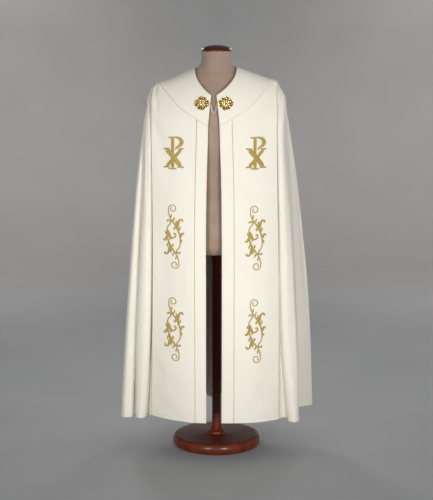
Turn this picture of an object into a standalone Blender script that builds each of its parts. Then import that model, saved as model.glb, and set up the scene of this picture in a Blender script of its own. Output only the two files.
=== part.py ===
"""Cope vestment on a tailor's dress form.

Units are metres, +Z is up and the open front faces -Y. The origin is the centre of the
stand's underside. The cloth is one grid of rings, from the neckline down to the hem, and
columns, from the left front edge round the back to the right one. Each cut piece is a
closed wall made on its own share of that grid.
"""

import math
from collections import namedtuple

import bpy
import bmesh
import numpy as np
from mathutils import Matrix, Vector

# ---------------------------------------------------------------- driving sizes
SEAM_GAP = 0.0003          # between two pieces that are sewn together
CLOTH_WALL = 0.0020        # cope cloth with its interlining
COLLAR_WALL = 0.0024

HEM_Z = 0.1435
OPENING_X = -0.0105        # the cope hangs a little to one side of the stand's axis
BAND_WIDTHS = {-1: 0.0455, 1: 0.0495}   # plain strip between the orphrey and the front edge
CHEST_Z = 1.330            # below this level the fronts hang almost straight
CHEST_DEPTH = 0.130        # from the stand's axis to the cloth at the breast
CHEST_SPREAD = 0.395       # half-width at which the breast curve would reach the axis plane
EDGE_DEPTH_HEM = 0.200     # the front edges swing forward at the hem
SEAM_DEPTH_HEM = {-1: 0.076, 1: 0.136}    # the outer seams at the hem, left and right
HEM_CURVE = {-1: 1.87, 1: 3.0}            # how late each front turns back towards its seam

NECK_SIDE_X, NECK_SIDE_Z = 0.0835, 1.567
SHOULDER_X, SHOULDER_Z = 0.2415, 1.504
SETTLE_SHIFT = -0.003      # the cope has settled this far to the left on the shoulders,
SETTLE_LEAN = 0.034        # and its left shoulder sits lower than its right one

BAND_COLUMNS, ORPHREY_COLUMNS = 2, 8
FLANK_DROP = 0.42                         # how round a crest is, in widths of the fold
VALLEY_WIDTH = 0.006
LIP = {-1: 0.013, 1: 0.026}               # the cloth runs on past each seam before it turns in
FOLD_GROWTH = 0.85                        # how folds deepen from their start to the hem
SEAM_FOLD_TOP = (1.45, 1.30)              # the folds beside the outer seams die out between these levels

MEDAL_WIDTH, MEDAL_HEIGHT, MEDAL_THICK = 0.061, 0.0575, 0.0036
MEDAL_OFFSET, MEDAL_Z = 0.0470, 1.429
MEDAL_TURN = {-1: -6.0, 1: 5.0}           # degrees each medal is turned on the cloth
STONE_RADIUS = 0.0062
LINK_LENGTH, LINK_WIDTH, LINK_WIRE = 0.0107, 0.0076, 0.0015
LINK_COUNT, CHAIN_DROP = 11, 0.036
EYE_RADIUS = 0.0026

NECK_RADIUS, NECK_TOP_Z = 0.0615, 1.6335
CAP_RADIUS, CAP_HEIGHT = 0.0632, 0.0252
TORSO_BOTTOM_Z = 0.815
BASE_RADIUS, BASE_HEIGHT = 0.182, 0.046
BOSS_RADIUS, BOSS_HEIGHT = 0.036, 0.026
POLE_RADIUS = 0.019

# ---------------------------------------------------------------- tables
# One row for each ring of the fronts, from the neckline to the hem. edge and the seams are
# the front edge and the orphreys' outer seams, measured from the middle of the opening; down
# to the shoulder the outer seams run along the shoulder line.
FrontRing = namedtuple("FrontRing", "name edge edge_z seam_left seam_right seam_z")
FRONT_RINGS = [
    FrontRing("neckline",   0.0100, 1.462, None,   None,   None),
    FrontRing("collar_1",   0.0150, 1.420, None,   None,   None),
    FrontRing("collar_2",   0.0190, 1.380, None,   None,   None),
    FrontRing("collar_hem", 0.0225, 1.339, None,   None,   None),
    FrontRing("shoulder",   0.0232, 1.312, None,   None,   None),
    FrontRing("upper_1",    0.0240, 1.280, 0.2490, 0.2525, 1.464),
    FrontRing("upper_2",    0.0255, 1.230, 0.2505, 0.2525, 1.405),
    FrontRing("upper_3",    0.0278, 1.165, 0.2510, 0.2525, 1.320),
    FrontRing("fall_1",     0.0302, 1.060, 0.2496, 0.2540, 1.180),
    FrontRing("fall_2",     0.0318, 0.890, 0.2480, 0.2585, 0.960),
    FrontRing("fall_3",     0.0319, 0.650, 0.2497, 0.2630, 0.680),
    FrontRing("fall_4",     0.0316, 0.390, 0.2538, 0.2655, 0.400),
    FrontRing("hem",        0.0310, HEM_Z, 0.2588, 0.2667, HEM_Z),
]
COLLAR_RING = 3            # the ring that is the collar's outer edge
SHOULDER_RING = 4

# The body's rings, in the same order: half-widths at the sides before the folds, the sides'
# place from front to back, depth and height at the centre back.
BodyRing = namedtuple("BodyRing", "left right middle_y back_y back_z")
BODY_RINGS = [
    BodyRing(NECK_SIDE_X, NECK_SIDE_X, 0.000, 0.0800, 1.582),
    BodyRing(0.1320,      0.1320,      0.000, 0.1150, 1.533),
    BodyRing(0.1800,      0.1800,      0.000, 0.1360, 1.470),
    BodyRing(0.2285,      0.2285,      0.000, 0.1500, 1.398),
    BodyRing(SHOULDER_X,  SHOULDER_X,  0.000, 0.1540, 1.368),
    BodyRing(0.2700,      0.2780,      0.006, 0.1580, 1.335),
    BodyRing(0.2840,      0.2880,      0.010, 0.1650, 1.288),
    BodyRing(0.2930,      0.2970,      0.014, 0.1720, 1.215),
    BodyRing(0.3060,      0.3115,      0.018, 0.1820, 1.100),
    BodyRing(0.3200,      0.3290,      0.024, 0.1960, 0.915),
    BodyRing(0.3350,      0.3480,      0.030, 0.2120, 0.660),
    BodyRing(0.3470,      0.3560,      0.036, 0.2250, 0.395),
    BodyRing(0.3550,      0.3570,      0.040, 0.2350, HEM_Z),
]

# The collar's outer edge on each front, from its blunt tip up to the shoulder line.
CollarEdge = namedtuple("CollarEdge", "across rise")
COLLAR_EDGE = [
    CollarEdge(0.00, 0.015), CollarEdge(0.06, 0.020), CollarEdge(0.20, 0.150),
    CollarEdge(0.47, 0.325), CollarEdge(0.64, 0.500), CollarEdge(0.77, 0.690),
    CollarEdge(0.92, 0.880), CollarEdge(1.00, 1.000),
]

# Folds of the body from the left front seam round the back to the right one, as they stand
# at the hem: the valley that comes first, the crest after it, the way the crest faces in
# degrees anticlockwise from +X, its width, how far its hem hangs lower and the height where
# the fold dies out.
Fold = namedtuple("Fold", "name valley_x valley_y crest_x crest_y faces width drop start_z")
FOLDS = [
    Fold("left_front",  -0.288, -0.047, -0.316, -0.111, 262, 0.044, 0.003, 1.500),
    Fold("left_side",   -0.341, -0.064, -0.382, -0.103, 245, 0.054, 0.002, 1.500),
    Fold("left_3",      -0.352,  0.004, -0.401,  0.054, 178, 0.044, 0.000, 1.480),
    Fold("left_4",      -0.334,  0.083, -0.369,  0.131, 146, 0.046, 0.002, 1.460),
    Fold("left_5",      -0.301,  0.121, -0.311,  0.199, 126, 0.050, 0.003, 1.420),
    Fold("left_6",      -0.243,  0.166, -0.237,  0.234, 114, 0.044, 0.002, 1.360),
    Fold("left_7",      -0.178,  0.196, -0.152,  0.268, 104, 0.050, 0.003, 1.280),
    Fold("back_left",   -0.095,  0.218, -0.065,  0.276,  96, 0.046, 0.002, 1.200),
    Fold("back_right",  -0.018,  0.219,  0.028,  0.284,  88, 0.052, 0.003, 1.180),
    Fold("right_7",      0.067,  0.223,  0.110,  0.271,  80, 0.044, 0.001, 1.250),
    Fold("right_6",      0.136,  0.207,  0.198,  0.256,  71, 0.048, 0.003, 1.330),
    Fold("right_5",      0.219,  0.181,  0.284,  0.212,  59, 0.052, 0.002, 1.400),
    Fold("right_4",      0.277,  0.141,  0.349,  0.157,  43, 0.046, 0.002, 1.440),
    Fold("right_side",   0.330,  0.104,  0.407,  0.074, 332, 0.056, 0.000, 1.480),
    Fold("right_front",  0.320,  0.030,  0.319, -0.165, 280, 0.048, 0.005, 1.500),
]
LAST_VALLEY = (0.287, -0.124)

# The fold beside each outer seam, column by column from the seam to the far side of the fold,
# where it hangs close to the seam: the share of the way there, and how far it stands out, in
# shares of that distance.
SeamFold = namedtuple("SeamFold", "along rise")
SEAM_FOLDS = {
    -1: [SeamFold(0.041, -0.082), SeamFold(0.077, -0.135), SeamFold(0.100, -0.074),
         SeamFold(0.133, 0.076), SeamFold(0.256, 0.179), SeamFold(0.401, 0.213),
         SeamFold(0.591, 0.136), SeamFold(0.765, -0.016), SeamFold(0.878, -0.147),
         SeamFold(0.941, -0.168), SeamFold(1.000, 0.000)],
    1: [SeamFold(0.039, -0.056), SeamFold(0.069, -0.090), SeamFold(0.095, -0.047),
        SeamFold(0.139, 0.068), SeamFold(0.310, 0.186), SeamFold(0.522, 0.219),
        SeamFold(0.751, 0.131), SeamFold(1.000, 0.000)],
}
# For each ring: how far the far side of that fold reaches, left and right, and how far the fold
# has parted from the seam.
SeamRing = namedtuple("SeamRing", "reach_left reach_right parted")
SEAM_RINGS = {5: SeamRing(1.0, 0.66, 0.0), 6: SeamRing(1.0, 0.66, 0.0), 7: SeamRing(1.0, 0.66, 0.0),
              8: SeamRing(1.0, 0.68, 0.0), 9: SeamRing(1.0, 0.74, 0.0), 10: SeamRing(1.0, 0.78, 0.0),
              11: SeamRing(1.0, 0.86, 0.2)}

# Level sections of the form, from under the hips to the neck.
Section = namedtuple("Section", "name z side front back power")
TORSO = [
    Section("under",      TORSO_BOTTOM_Z, 0.140, 0.090, 0.100, 2.1),
    Section("lower_hip",  0.835, 0.168, 0.112, 0.124, 2.2),
    Section("hip",        0.900, 0.174, 0.116, 0.130, 2.2),
    Section("upper_hip",  0.980, 0.164, 0.112, 0.118, 2.2),
    Section("waist",      1.090, 0.140, 0.104, 0.096, 2.2),
    Section("ribs",       1.190, 0.153, 0.110, 0.100, 2.2),
    Section("breast",     1.290, 0.168, 0.118, 0.110, 2.2),
    Section("armhole",    1.370, 0.172, 0.117, 0.120, 2.1),
    Section("blade",      1.430, 0.196, 0.108, 0.122, 1.9),
    Section("arm_end",    1.470, 0.222, 0.098, 0.112, 1.7),
    Section("shoulder_4", 1.4870, 0.231, 0.090, 0.102, 1.6),
    Section("shoulder_3", 1.5030, None, 0.083, 0.094, 1.4),
    Section("shoulder_2", 1.5200, None, 0.078, 0.086, 1.4),
    Section("shoulder_1", 1.5380, None, 0.072, 0.078, 1.4),
    Section("neck_foot",  1.5550, None, 0.0655, 0.070, 1.35),
    Section("neck_1",     1.5680, 0.0760, 0.0655, 0.067, 1.8),
    Section("neck_2",     1.5830, 0.0660, 0.0640, 0.065, 2.0),
    Section("neck_3",     1.6040, NECK_RADIUS, NECK_RADIUS, NECK_RADIUS, 2.0),
    Section("neck_top",   NECK_TOP_Z, NECK_RADIUS, NECK_RADIUS, NECK_RADIUS, 2.0),
]
SHOULDER_CLEAR = 0.0045    # the form's shoulder line below the cloth's outer face

# Turned profiles, from the axis out and up: radius and height.
CAP_PROFILE = [
    (0.0, 0.0), (CAP_RADIUS - 0.0012, 0.0), (CAP_RADIUS, 0.0012), (CAP_RADIUS, 0.0052),
    (CAP_RADIUS * 0.97, 0.0080), (CAP_RADIUS * 0.88, 0.0130), (CAP_RADIUS * 0.72, 0.0182),
    (CAP_RADIUS * 0.50, 0.0224), (CAP_RADIUS * 0.25, 0.0246), (0.0, CAP_HEIGHT),
]


def material(name, color, roughness, metallic=0.0):
    """A Principled finish with the piece's colour."""
    made = bpy.data.materials.new(name)
    made.use_nodes = True
    shader = made.node_tree.nodes["Principled BSDF"]
    shader.inputs["Base Color"].default_value = (*color, 1.0)
    shader.inputs["Roughness"].default_value = roughness
    shader.inputs["Metallic"].default_value = metallic
    return made


def lerp(a, b, t):
    return a + (b - a) * t


def ridge_z(x):
    """Height of the shoulder line at this distance from the axis."""
    slope = (NECK_SIDE_Z - SHOULDER_Z) / (SHOULDER_X - NECK_SIDE_X)
    return NECK_SIDE_Z - (abs(x) - NECK_SIDE_X) * slope


def ridge_x(z):
    """Distance of the shoulder line from the axis at this height."""
    slope = (NECK_SIDE_Z - SHOULDER_Z) / (SHOULDER_X - NECK_SIDE_X)
    return NECK_SIDE_X + (NECK_SIDE_Z - z) / slope


def seam_reach(row, side):
    """The outer seam of a front ring, from the middle of the opening."""
    return row.seam_left if side < 0 else row.seam_right


def front_y(x, z, side):
    """Depth of the front cloth: rounded over the breast, then hanging straight to the hem."""
    breast = CHEST_DEPTH * (1.0 - (x / CHEST_SPREAD) ** 2)
    if z >= CHEST_Z:
        rise = min(1.0, (z - CHEST_Z) / (ridge_z(x) - CHEST_Z))
        return -breast * math.sqrt(1.0 - rise * rise)
    fall = ((CHEST_Z - z) / (CHEST_Z - HEM_Z)) ** 1.15
    last = FRONT_RINGS[-1]
    across = (abs(x - OPENING_X) - last.edge) / (seam_reach(last, side) - last.edge)
    across = min(1.0, max(0.0, across))
    hem = lerp(EDGE_DEPTH_HEM, SEAM_DEPTH_HEM[side], across ** HEM_CURVE[side])
    return -lerp(breast, hem, fall)


def side_reach(body, side):
    """Half-width of a body ring at one side."""
    return body.left if side < 0 else body.right


def seam_xz(ring, side):
    """Where the orphrey's outer seam crosses a ring: along the shoulder, then down the front."""
    if ring <= SHOULDER_RING:
        return side * BODY_RINGS[ring].left, ridge_z(BODY_RINGS[ring].left)
    row = FRONT_RINGS[ring]
    return OPENING_X + side * seam_reach(row, side), row.seam_z


def front_point(ring, across, side):
    """A point of the front: across is 0 at the front edge and 1 at the outer seam."""
    row = FRONT_RINGS[ring]
    seam_x, seam_z = seam_xz(ring, side)
    edge_x = OPENING_X + side * row.edge
    collar_rise = np.interp(across, [p.across for p in COLLAR_EDGE], [p.rise for p in COLLAR_EDGE])
    neck = max(0.0, 1.0 - ring / COLLAR_RING)
    below = max(0.0, 1.0 - abs(ring - COLLAR_RING) / 5.0)
    share_x = lerp(across, math.sin(across * math.pi / 2), neck)
    if ring <= COLLAR_RING:
        share_z = lerp(collar_rise, across ** 1.15, neck)
    else:
        share_z = lerp(across ** 1.1, collar_rise, below)
    x = lerp(edge_x, seam_x, share_x)
    z = lerp(row.edge_z, seam_z, share_z)
    return Vector((x, front_y(x, z, side), z))


def front_shares(ring, side):
    """The columns of a front, as shares from the front edge to the outer seam. They bunch up
    towards the seam, where the cloth turns over the shoulder."""
    seam_x, _ = seam_xz(ring, side)
    whole = abs(seam_x - (OPENING_X + side * FRONT_RINGS[ring].edge))
    band = min(0.42, BAND_WIDTHS[side] / whole)
    shares = [band * i / BAND_COLUMNS for i in range(BAND_COLUMNS)]
    bunching = lerp(2.0, 1.2, max(0, ring - SHOULDER_RING) / (len(FRONT_RINGS) - 1 - SHOULDER_RING))
    closer = [1.0 - (1.0 - i / ORPHREY_COLUMNS) ** bunching for i in range(ORPHREY_COLUMNS)]
    return shares + [lerp(band, 1.0, share) for share in closer]


def outline_point(ring, turn, side):
    """The body's outline with no flutes: turn is 0 at the seam and 1 at the centre back."""
    body = BODY_RINGS[ring]
    seam = front_point(ring, 1.0, side)
    power = lerp(2.0, 2.3, max(0, ring - SHOULDER_RING) / (len(BODY_RINGS) - 1 - SHOULDER_RING))
    reach = side_reach(body, side)
    start = -math.acos(min(1.0, abs(seam.x) / reach) ** (power / 2))
    angle = lerp(start, math.pi / 2, turn)
    x = side * reach * abs(math.cos(angle)) ** (2 / power)
    bulge = abs(math.sin(angle)) ** (2 / power)
    if angle < 0:
        y = body.middle_y - (body.middle_y - seam.y) * bulge / abs(math.sin(start)) ** (2 / power)
    else:
        y = body.middle_y + (body.back_y - body.middle_y) * bulge
    z = lerp(seam.z, body.back_z, math.sin(turn * math.pi / 2) ** 2)
    return Vector((x, y, z))


def spline(points, index, t):
    """A round curve through points: the place t of the way from one point to the next."""
    near = [points[max(0, min(len(points) - 1, index + k))] for k in (-1, 0, 1, 2)]
    gaps = [max(1e-4, math.sqrt((b - a).length)) for a, b in zip(near, near[1:])]
    steps = [(b - a) / gap for a, b, gap in zip(near, near[1:], gaps)]
    leave = (steps[0] * gaps[1] + steps[1] * gaps[0]) / (gaps[0] + gaps[1]) * gaps[1]
    arrive = (steps[1] * gaps[2] + steps[2] * gaps[1]) / (gaps[1] + gaps[2]) * gaps[1]
    bend = near[1] * (2 * t ** 3 - 3 * t ** 2 + 1) + near[2] * (3 * t ** 2 - 2 * t ** 3)
    return bend + leave * (t ** 3 - 2 * t ** 2 + t) + arrive * (t ** 3 - t ** 2)


def hem_points():
    """The body's hem through its folds. For each point: the point, how far round the body it
    belongs, the height where its fold dies out and its columns to the next point."""
    hem = len(BODY_RINGS) - 1
    seams = [front_point(hem, 1.0, side) for side in (-1, 1)]
    lips = [seam + (seam - front_point(hem, 0.93, side)).normalized() * LIP[side]
            for seam, side in zip(seams, (-1, 1))]
    points, starts, steps = [seams[0], lips[0]], [FOLDS[0].start_z] * 2, [1, 1]
    valleys = [0]
    along = None
    for fold in FOLDS:
        faces = Vector((math.cos(math.radians(fold.faces)), math.sin(math.radians(fold.faces)), 0))
        aside = Vector((faces.y, -faces.x, 0))
        across = ((along or aside) + aside).normalized() * (VALLEY_WIDTH / 2)
        along = aside
        valley = Vector((fold.valley_x, fold.valley_y, HEM_Z))
        crest = Vector((fold.crest_x, fold.crest_y, HEM_Z - fold.drop))
        back = crest - faces * (fold.width * FLANK_DROP)
        flank = aside * (fold.width / 2)
        valleys.append(len(points))
        points += [valley - across, valley + across, back - flank, crest, back + flank]
        starts += [fold.start_z] * 5
        steps += [1, 1, 2, 2, 1]
    valley, across = Vector((*LAST_VALLEY, HEM_Z)), along * (VALLEY_WIDTH / 2)
    valleys += [len(points), len(points) + 3]
    points += [valley - across, valley + across, lips[1], seams[1]]
    starts += [FOLDS[-1].start_z] * 4
    steps += [1, 1, 1]
    spans = [(points[b] - points[a]).length for a, b in zip(valleys, valleys[1:])]
    run = np.concatenate([[0.0], np.cumsum(spans)])
    middle = run[[points[v].x < -0.03 for v in valleys].index(False)]
    places = np.interp(range(len(points)), valleys, np.interp(run, [0.0, middle, run[-1]], [0.0, 0.5, 1.0]))
    return points, places, starts, steps


def fold_columns():
    """The columns of the body: place round it, point at the hem and where its fold starts."""
    points, places, starts, steps = hem_points()
    columns = []
    for i, count in enumerate(steps):
        for k in range(count):
            t = k / count
            columns.append((lerp(places[i], places[i + 1], t), spline(points, i, t),
                            lerp(starts[i], starts[i + 1], t)))
    return columns[1:]


def body_point(ring, column):
    """A point of the body: its smooth outline, moved as its fold asks at this height."""
    at, hem, start_z = column
    side = -1 if at < 0.5 else 1
    turn = at * 2 if at < 0.5 else (1 - at) * 2
    here = outline_point(ring, turn, side)
    grown = min(1.0, max(0.0, (start_z - here.z) / (start_z - HEM_Z))) ** FOLD_GROWTH
    return here + (hem - outline_point(len(BODY_RINGS) - 1, turn, side)) * grown


def beside_seam(row, ring, side):
    """Draws the fold next to an outer seam in to the seam, on one ring of the grid."""
    sizes, columns = SEAM_RINGS[ring], SEAM_FOLDS[side]
    reach = sizes.reach_left if side < 0 else sizes.reach_right
    seam = BAND_COLUMNS + ORPHREY_COLUMNS if side < 0 else len(row) - 1 - BAND_COLUMNS - ORPHREY_COLUMNS
    start = row[seam]
    chord = (row[seam - side * len(columns)] - start) * reach
    out = Vector((chord.y, -chord.x, 0)) * side
    high, low = SEAM_FOLD_TOP
    for i, column in enumerate(columns):
        index = seam - side * (i + 1)
        old = row[index]
        drawn = start + chord * column.along + out * column.rise
        share = min(1.0, max(0.0, (high - old.z) / (high - low))) * (1.0 - sizes.parted)
        row[index] = Vector((lerp(old.x, drawn.x, share), lerp(old.y, drawn.y, share), old.z))


def settled(points):
    """Leans points near the shoulders, and moves those near the neck to one side."""
    leaning = np.clip((points[..., 2] - CHEST_Z) / 0.17, 0.0, 1.0)
    shifted = np.clip((points[..., 2] - 1.45) / 0.10, 0.0, 1.0)
    return points + np.stack([SETTLE_SHIFT * shifted, 0 * leaning,
                              SETTLE_LEAN * points[..., 0] * leaning], axis=-1)


def garment_grid():
    """Rings of points, outer face of the cloth, and the columns at which pieces are joined."""
    columns = fold_columns()
    grid = []
    for ring in range(len(FRONT_RINGS)):
        left = [front_point(ring, share, -1) for share in front_shares(ring, -1)]
        right = [front_point(ring, share, 1) for share in front_shares(ring, 1)]
        ends = [front_point(ring, 1.0, -1)], [front_point(ring, 1.0, 1)]
        body = [body_point(ring, column) for column in columns]
        row = left + ends[0] + body + ends[1] + right[::-1]
        for side in (-1, 1):
            if ring in SEAM_RINGS:
                beside_seam(row, ring, side)
        grid.append(row)
    front = BAND_COLUMNS + ORPHREY_COLUMNS
    last = len(grid[0]) - 1
    joins = {"left_edge": 0, "left_inner": BAND_COLUMNS, "left_outer": front,
             "right_outer": last - front, "right_inner": last - BAND_COLUMNS, "right_edge": last}
    points = np.array([[tuple(p) for p in row] for row in grid])
    return settled(points), joins


def grid_normals(points):
    """Outward unit normals of the grid, from each point's neighbours."""
    normals = np.cross(np.gradient(points, axis=1), np.gradient(points, axis=0))
    return normals / np.linalg.norm(normals, axis=2, keepdims=True)


def drawn_back(edge, inner, normals):
    """An edge of a piece, moved into the piece by half the seam gap, square to the seam."""
    inward = np.cross(normals, np.gradient(edge, axis=0))
    inward /= np.linalg.norm(inward, axis=1, keepdims=True)
    inward *= np.sign(np.sum(inward * (inner - edge), axis=1, keepdims=True))
    return edge + inward * (SEAM_GAP / 2)


def piece(points, normals, first, last):
    """A piece's share of the grid, drawn back at its joins."""
    part, facing = points[:, first:last + 1].copy(), normals[:, first:last + 1].copy()
    if first > 0:
        part[:, 0] = drawn_back(part[:, 0], part[:, 1], facing[:, 0])
    if last < points.shape[1] - 1:
        part[:, -1] = drawn_back(part[:, -1], part[:, -2], facing[:, -1])
    return part, facing


def wall(name, points, normals, inner_lift, outer_lift, finish):
    """A closed wall over a grid, between two distances from it along its normals."""
    outer, inner = points + normals * outer_lift, points + normals * inner_lift
    rows, columns = points.shape[:2]
    mesh = bmesh.new()
    out = [[mesh.verts.new(p) for p in row] for row in outer]
    into = [[mesh.verts.new(p) for p in row] for row in inner]
    for r in range(rows - 1):
        for c in range(columns - 1):
            for (r1, c1), (r2, c2) in (((r + 1, c), (r + 1, c + 1)), ((r + 1, c + 1), (r, c + 1))):
                mesh.faces.new((out[r][c], out[r1][c1], out[r2][c2]))
                mesh.faces.new((into[r][c], into[r2][c2], into[r1][c1]))
    loop = [(0, c) for c in range(columns)] + [(r, columns - 1) for r in range(1, rows)]
    loop += [(rows - 1, c) for c in range(columns - 2, -1, -1)]
    loop += [(r, 0) for r in range(rows - 2, 0, -1)]
    for (r0, c0), (r1, c1) in zip(loop, loop[1:] + loop[:1]):
        mesh.faces.new((out[r0][c0], out[r1][c1], into[r1][c1], into[r0][c0]))
    return finish_object(name, mesh, finish)


def finish_object(name, mesh, finish, sharp=50.0):
    """Turns a bmesh into a named object with its finish, shaded smooth but for sharp edges."""
    bmesh.ops.recalc_face_normals(mesh, faces=mesh.faces)
    data = bpy.data.meshes.new(name)
    mesh.to_mesh(data)
    mesh.free()
    data.materials.append(finish)
    data.shade_smooth()
    data.set_sharp_from_angle(angle=math.radians(sharp))
    made = bpy.data.objects.new(name, data)
    bpy.context.scene.collection.objects.link(made)
    return made


def lathe(name, profile, segments, finish, place=Vector((0, 0, 0)), frame=None, sharp=30.0):
    """A turned piece: the profile starts and ends on the axis."""
    mesh = bmesh.new()
    rings = []
    for radius, height in profile:
        if radius == 0.0:
            rings.append([mesh.verts.new((0, 0, height))])
        else:
            turns = [2 * math.pi * i / segments for i in range(segments)]
            rings.append([mesh.verts.new((radius * math.cos(a), radius * math.sin(a), height))
                          for a in turns])
    for low, high in zip(rings, rings[1:]):
        for i in range(segments):
            j = (i + 1) % segments
            corners = [low[i % len(low)], low[j % len(low)], high[j % len(high)], high[i % len(high)]]
            mesh.faces.new(list(dict.fromkeys(corners)))
    mesh.transform(Matrix.Translation(place) @ (frame or Matrix.Identity(4)))
    return finish_object(name, mesh, finish, sharp)


def tube_loop(name, path, across, wire, sides, finish):
    """A closed ring of round wire along a flat path, whose plane's normal is across."""
    mesh = bmesh.new()
    count = len(path)
    rings = []
    for i, point in enumerate(path):
        along = (path[(i + 1) % count] - path[i - 1]).normalized()
        outward = along.cross(across).normalized()
        turns = [2 * math.pi * k / sides for k in range(sides)]
        rings.append([mesh.verts.new(point + (outward * math.cos(a) + across * math.sin(a)) * (wire / 2))
                      for a in turns])
    for i in range(count):
        low, high = rings[i], rings[(i + 1) % count]
        for k in range(sides):
            m = (k + 1) % sides
            mesh.faces.new((low[k], low[m], high[m], high[k]))
    return finish_object(name, mesh, finish, 80.0)


def build_cope(points, normals, joins, cloth):
    """Bands, orphreys and body: the pieces that share the grid, then the collar over them."""
    cuts = [("front_band_left", "left_edge", "left_inner"), ("orphrey_left", "left_inner", "left_outer"),
            ("cope_body", "left_outer", "right_outer"), ("orphrey_right", "right_outer", "right_inner"),
            ("front_band_right", "right_inner", "right_edge")]
    for name, first, last in cuts:
        part, facing = piece(points, normals, joins[first], joins[last])
        wall(name, part, facing, -CLOTH_WALL, 0.0, cloth)
    wall("collar", points[:COLLAR_RING + 1], normals[:COLLAR_RING + 1], SEAM_GAP,
         SEAM_GAP + COLLAR_WALL, cloth)


def build_torso(linen):
    """The limbless form: level sections from under the hips to the neck, closed flat."""
    segments = 32
    mesh = bmesh.new()
    rings = []
    for row in TORSO:
        half = row.side if row.side is not None else ridge_x(row.z + SHOULDER_CLEAR)
        ring = []
        for i in range(segments):
            angle = 2 * math.pi * i / segments
            cos, sin = math.cos(angle), math.sin(angle)
            x = half * math.copysign(abs(cos) ** (2 / row.power), cos)
            depth = row.back if sin > 0 else row.front
            point = np.array([x, depth * math.copysign(abs(sin) ** (2 / row.power), sin), row.z])
            ring.append(mesh.verts.new(settled(point) if half > NECK_RADIUS else point))
        rings.append(ring)
    for low, high in zip(rings, rings[1:]):
        for i in range(segments):
            j = (i + 1) % segments
            mesh.faces.new((low[i], low[j], high[j], high[i]))
    mesh.faces.new(rings[0][::-1])
    mesh.faces.new(rings[-1])
    return finish_object("form_torso", mesh, linen, 45.0)


def build_stand(wood):
    """Cap, pole and base, turned from dark wood."""
    cap = Vector((0, 0, NECK_TOP_Z + SEAM_GAP))
    lathe("form_neck_cap", CAP_PROFILE, 32, wood, cap, sharp=50.0)
    pole_foot = BASE_HEIGHT + BOSS_HEIGHT + SEAM_GAP
    pole_top = TORSO_BOTTOM_Z - SEAM_GAP
    pole = [(0.0, pole_foot), (POLE_RADIUS, pole_foot), (POLE_RADIUS, pole_top), (0.0, pole_top)]
    lathe("form_pole", pole, 24, wood)
    half = BASE_HEIGHT / 2
    rim = [(BASE_RADIUS - half * 0.62 * (1 - math.cos(a)), half - half * math.sin(a))
           for a in np.radians([68, 34, 0, -34, -68])]
    base = [(0.0, 0.0), (BASE_RADIUS - half * 0.62, 0.0)] + rim
    base += [(BASE_RADIUS - half * 0.62, BASE_HEIGHT), (BOSS_RADIUS + 0.006, BASE_HEIGHT + 0.001),
             (BOSS_RADIUS, BASE_HEIGHT + 0.007), (BOSS_RADIUS * 0.80, BASE_HEIGHT + 0.016),
             (POLE_RADIUS + 0.004, BASE_HEIGHT + BOSS_HEIGHT - 0.002),
             (POLE_RADIUS + 0.001, BASE_HEIGHT + BOSS_HEIGHT), (0.0, BASE_HEIGHT + BOSS_HEIGHT)]
    lathe("form_base", base, 36, wood, sharp=50.0)


def surface_frame(x, z, side, lift):
    """A frame on the collar: its Z axis leaves the cloth, its Y axis runs up the cloth."""
    here = Vector((x, front_y(x, z, side), z))
    right = Vector((x + 0.004, front_y(x + 0.004, z, side), z)) - here
    up = Vector((x, front_y(x, z + 0.004, side), z + 0.004)) - here
    out = right.cross(up).normalized()
    up = (up - out * up.dot(out)).normalized()
    right = up.cross(out)
    turn = Matrix((right, up, out)).transposed().to_4x4()
    return Matrix.Translation(here + out * lift) @ turn


def medal_radius(angle):
    """Four round lobes: a circle, with a lobe pushed out at each quarter turn."""
    lobe = abs(math.cos(2 * angle))
    return 0.775 + 0.225 * lobe ** 0.55


def build_medal(name, frame, gold):
    """A four-lobed plate with a raised rim, a sunk field and a cup for the stone."""
    segments = 32
    layers = [(0.96, 0.0), (1.0, 0.0008), (1.0, MEDAL_THICK - 0.0008), (0.95, MEDAL_THICK),
              (0.86, MEDAL_THICK), (0.80, MEDAL_THICK - 0.0010)]
    cup = [(STONE_RADIUS + 0.0032, MEDAL_THICK - 0.0010), (STONE_RADIUS + 0.0022, MEDAL_THICK + 0.0004),
           (STONE_RADIUS + 0.0006, MEDAL_THICK + 0.0004), (STONE_RADIUS + 0.0004, MEDAL_THICK - 0.0008)]
    mesh = bmesh.new()
    rings = []
    for scale, height in layers:
        ring = []
        for i in range(segments):
            angle = 2 * math.pi * i / segments
            reach = medal_radius(angle) * scale
            ring.append(mesh.verts.new((reach * math.cos(angle) * MEDAL_WIDTH / 2,
                                        reach * math.sin(angle) * MEDAL_HEIGHT / 2, height)))
        rings.append(ring)
    for radius, height in cup:
        rings.append([mesh.verts.new((radius * math.cos(2 * math.pi * i / segments),
                                      radius * math.sin(2 * math.pi * i / segments), height))
                      for i in range(segments)])
    for low, high in zip(rings, rings[1:]):
        for i in range(segments):
            j = (i + 1) % segments
            mesh.faces.new((low[i], low[j], high[j], high[i]))
    mesh.faces.new(rings[0][::-1])
    mesh.faces.new(rings[-1])
    mesh.transform(frame)
    return finish_object(name, mesh, gold, 35.0)


def chain_joints(left, right):
    """The places where the links hook into each other, hung in a curve between two eyes."""
    middle, half = (left + right) / 2, (right.x - left.x) / 2
    lift = front_y(middle.x, middle.z, 1) - middle.y
    fine = []
    for t in np.linspace(-1, 1, 801):
        x, z = middle.x + half * t, middle.z - CHAIN_DROP * (1 - abs(t) ** 2.2)
        fine.append((x, front_y(middle.x, z, 1) - lift, z))
    fine = np.array(fine)
    run = np.concatenate([[0.0], np.cumsum(np.linalg.norm(np.diff(fine, axis=0), axis=1))])
    ends = [0.0013, run[-1] - 0.0013]
    return [Vector([np.interp(at, run, fine[:, k]) for k in range(3)])
            for at in np.linspace(*ends, LINK_COUNT + 1)]


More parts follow.
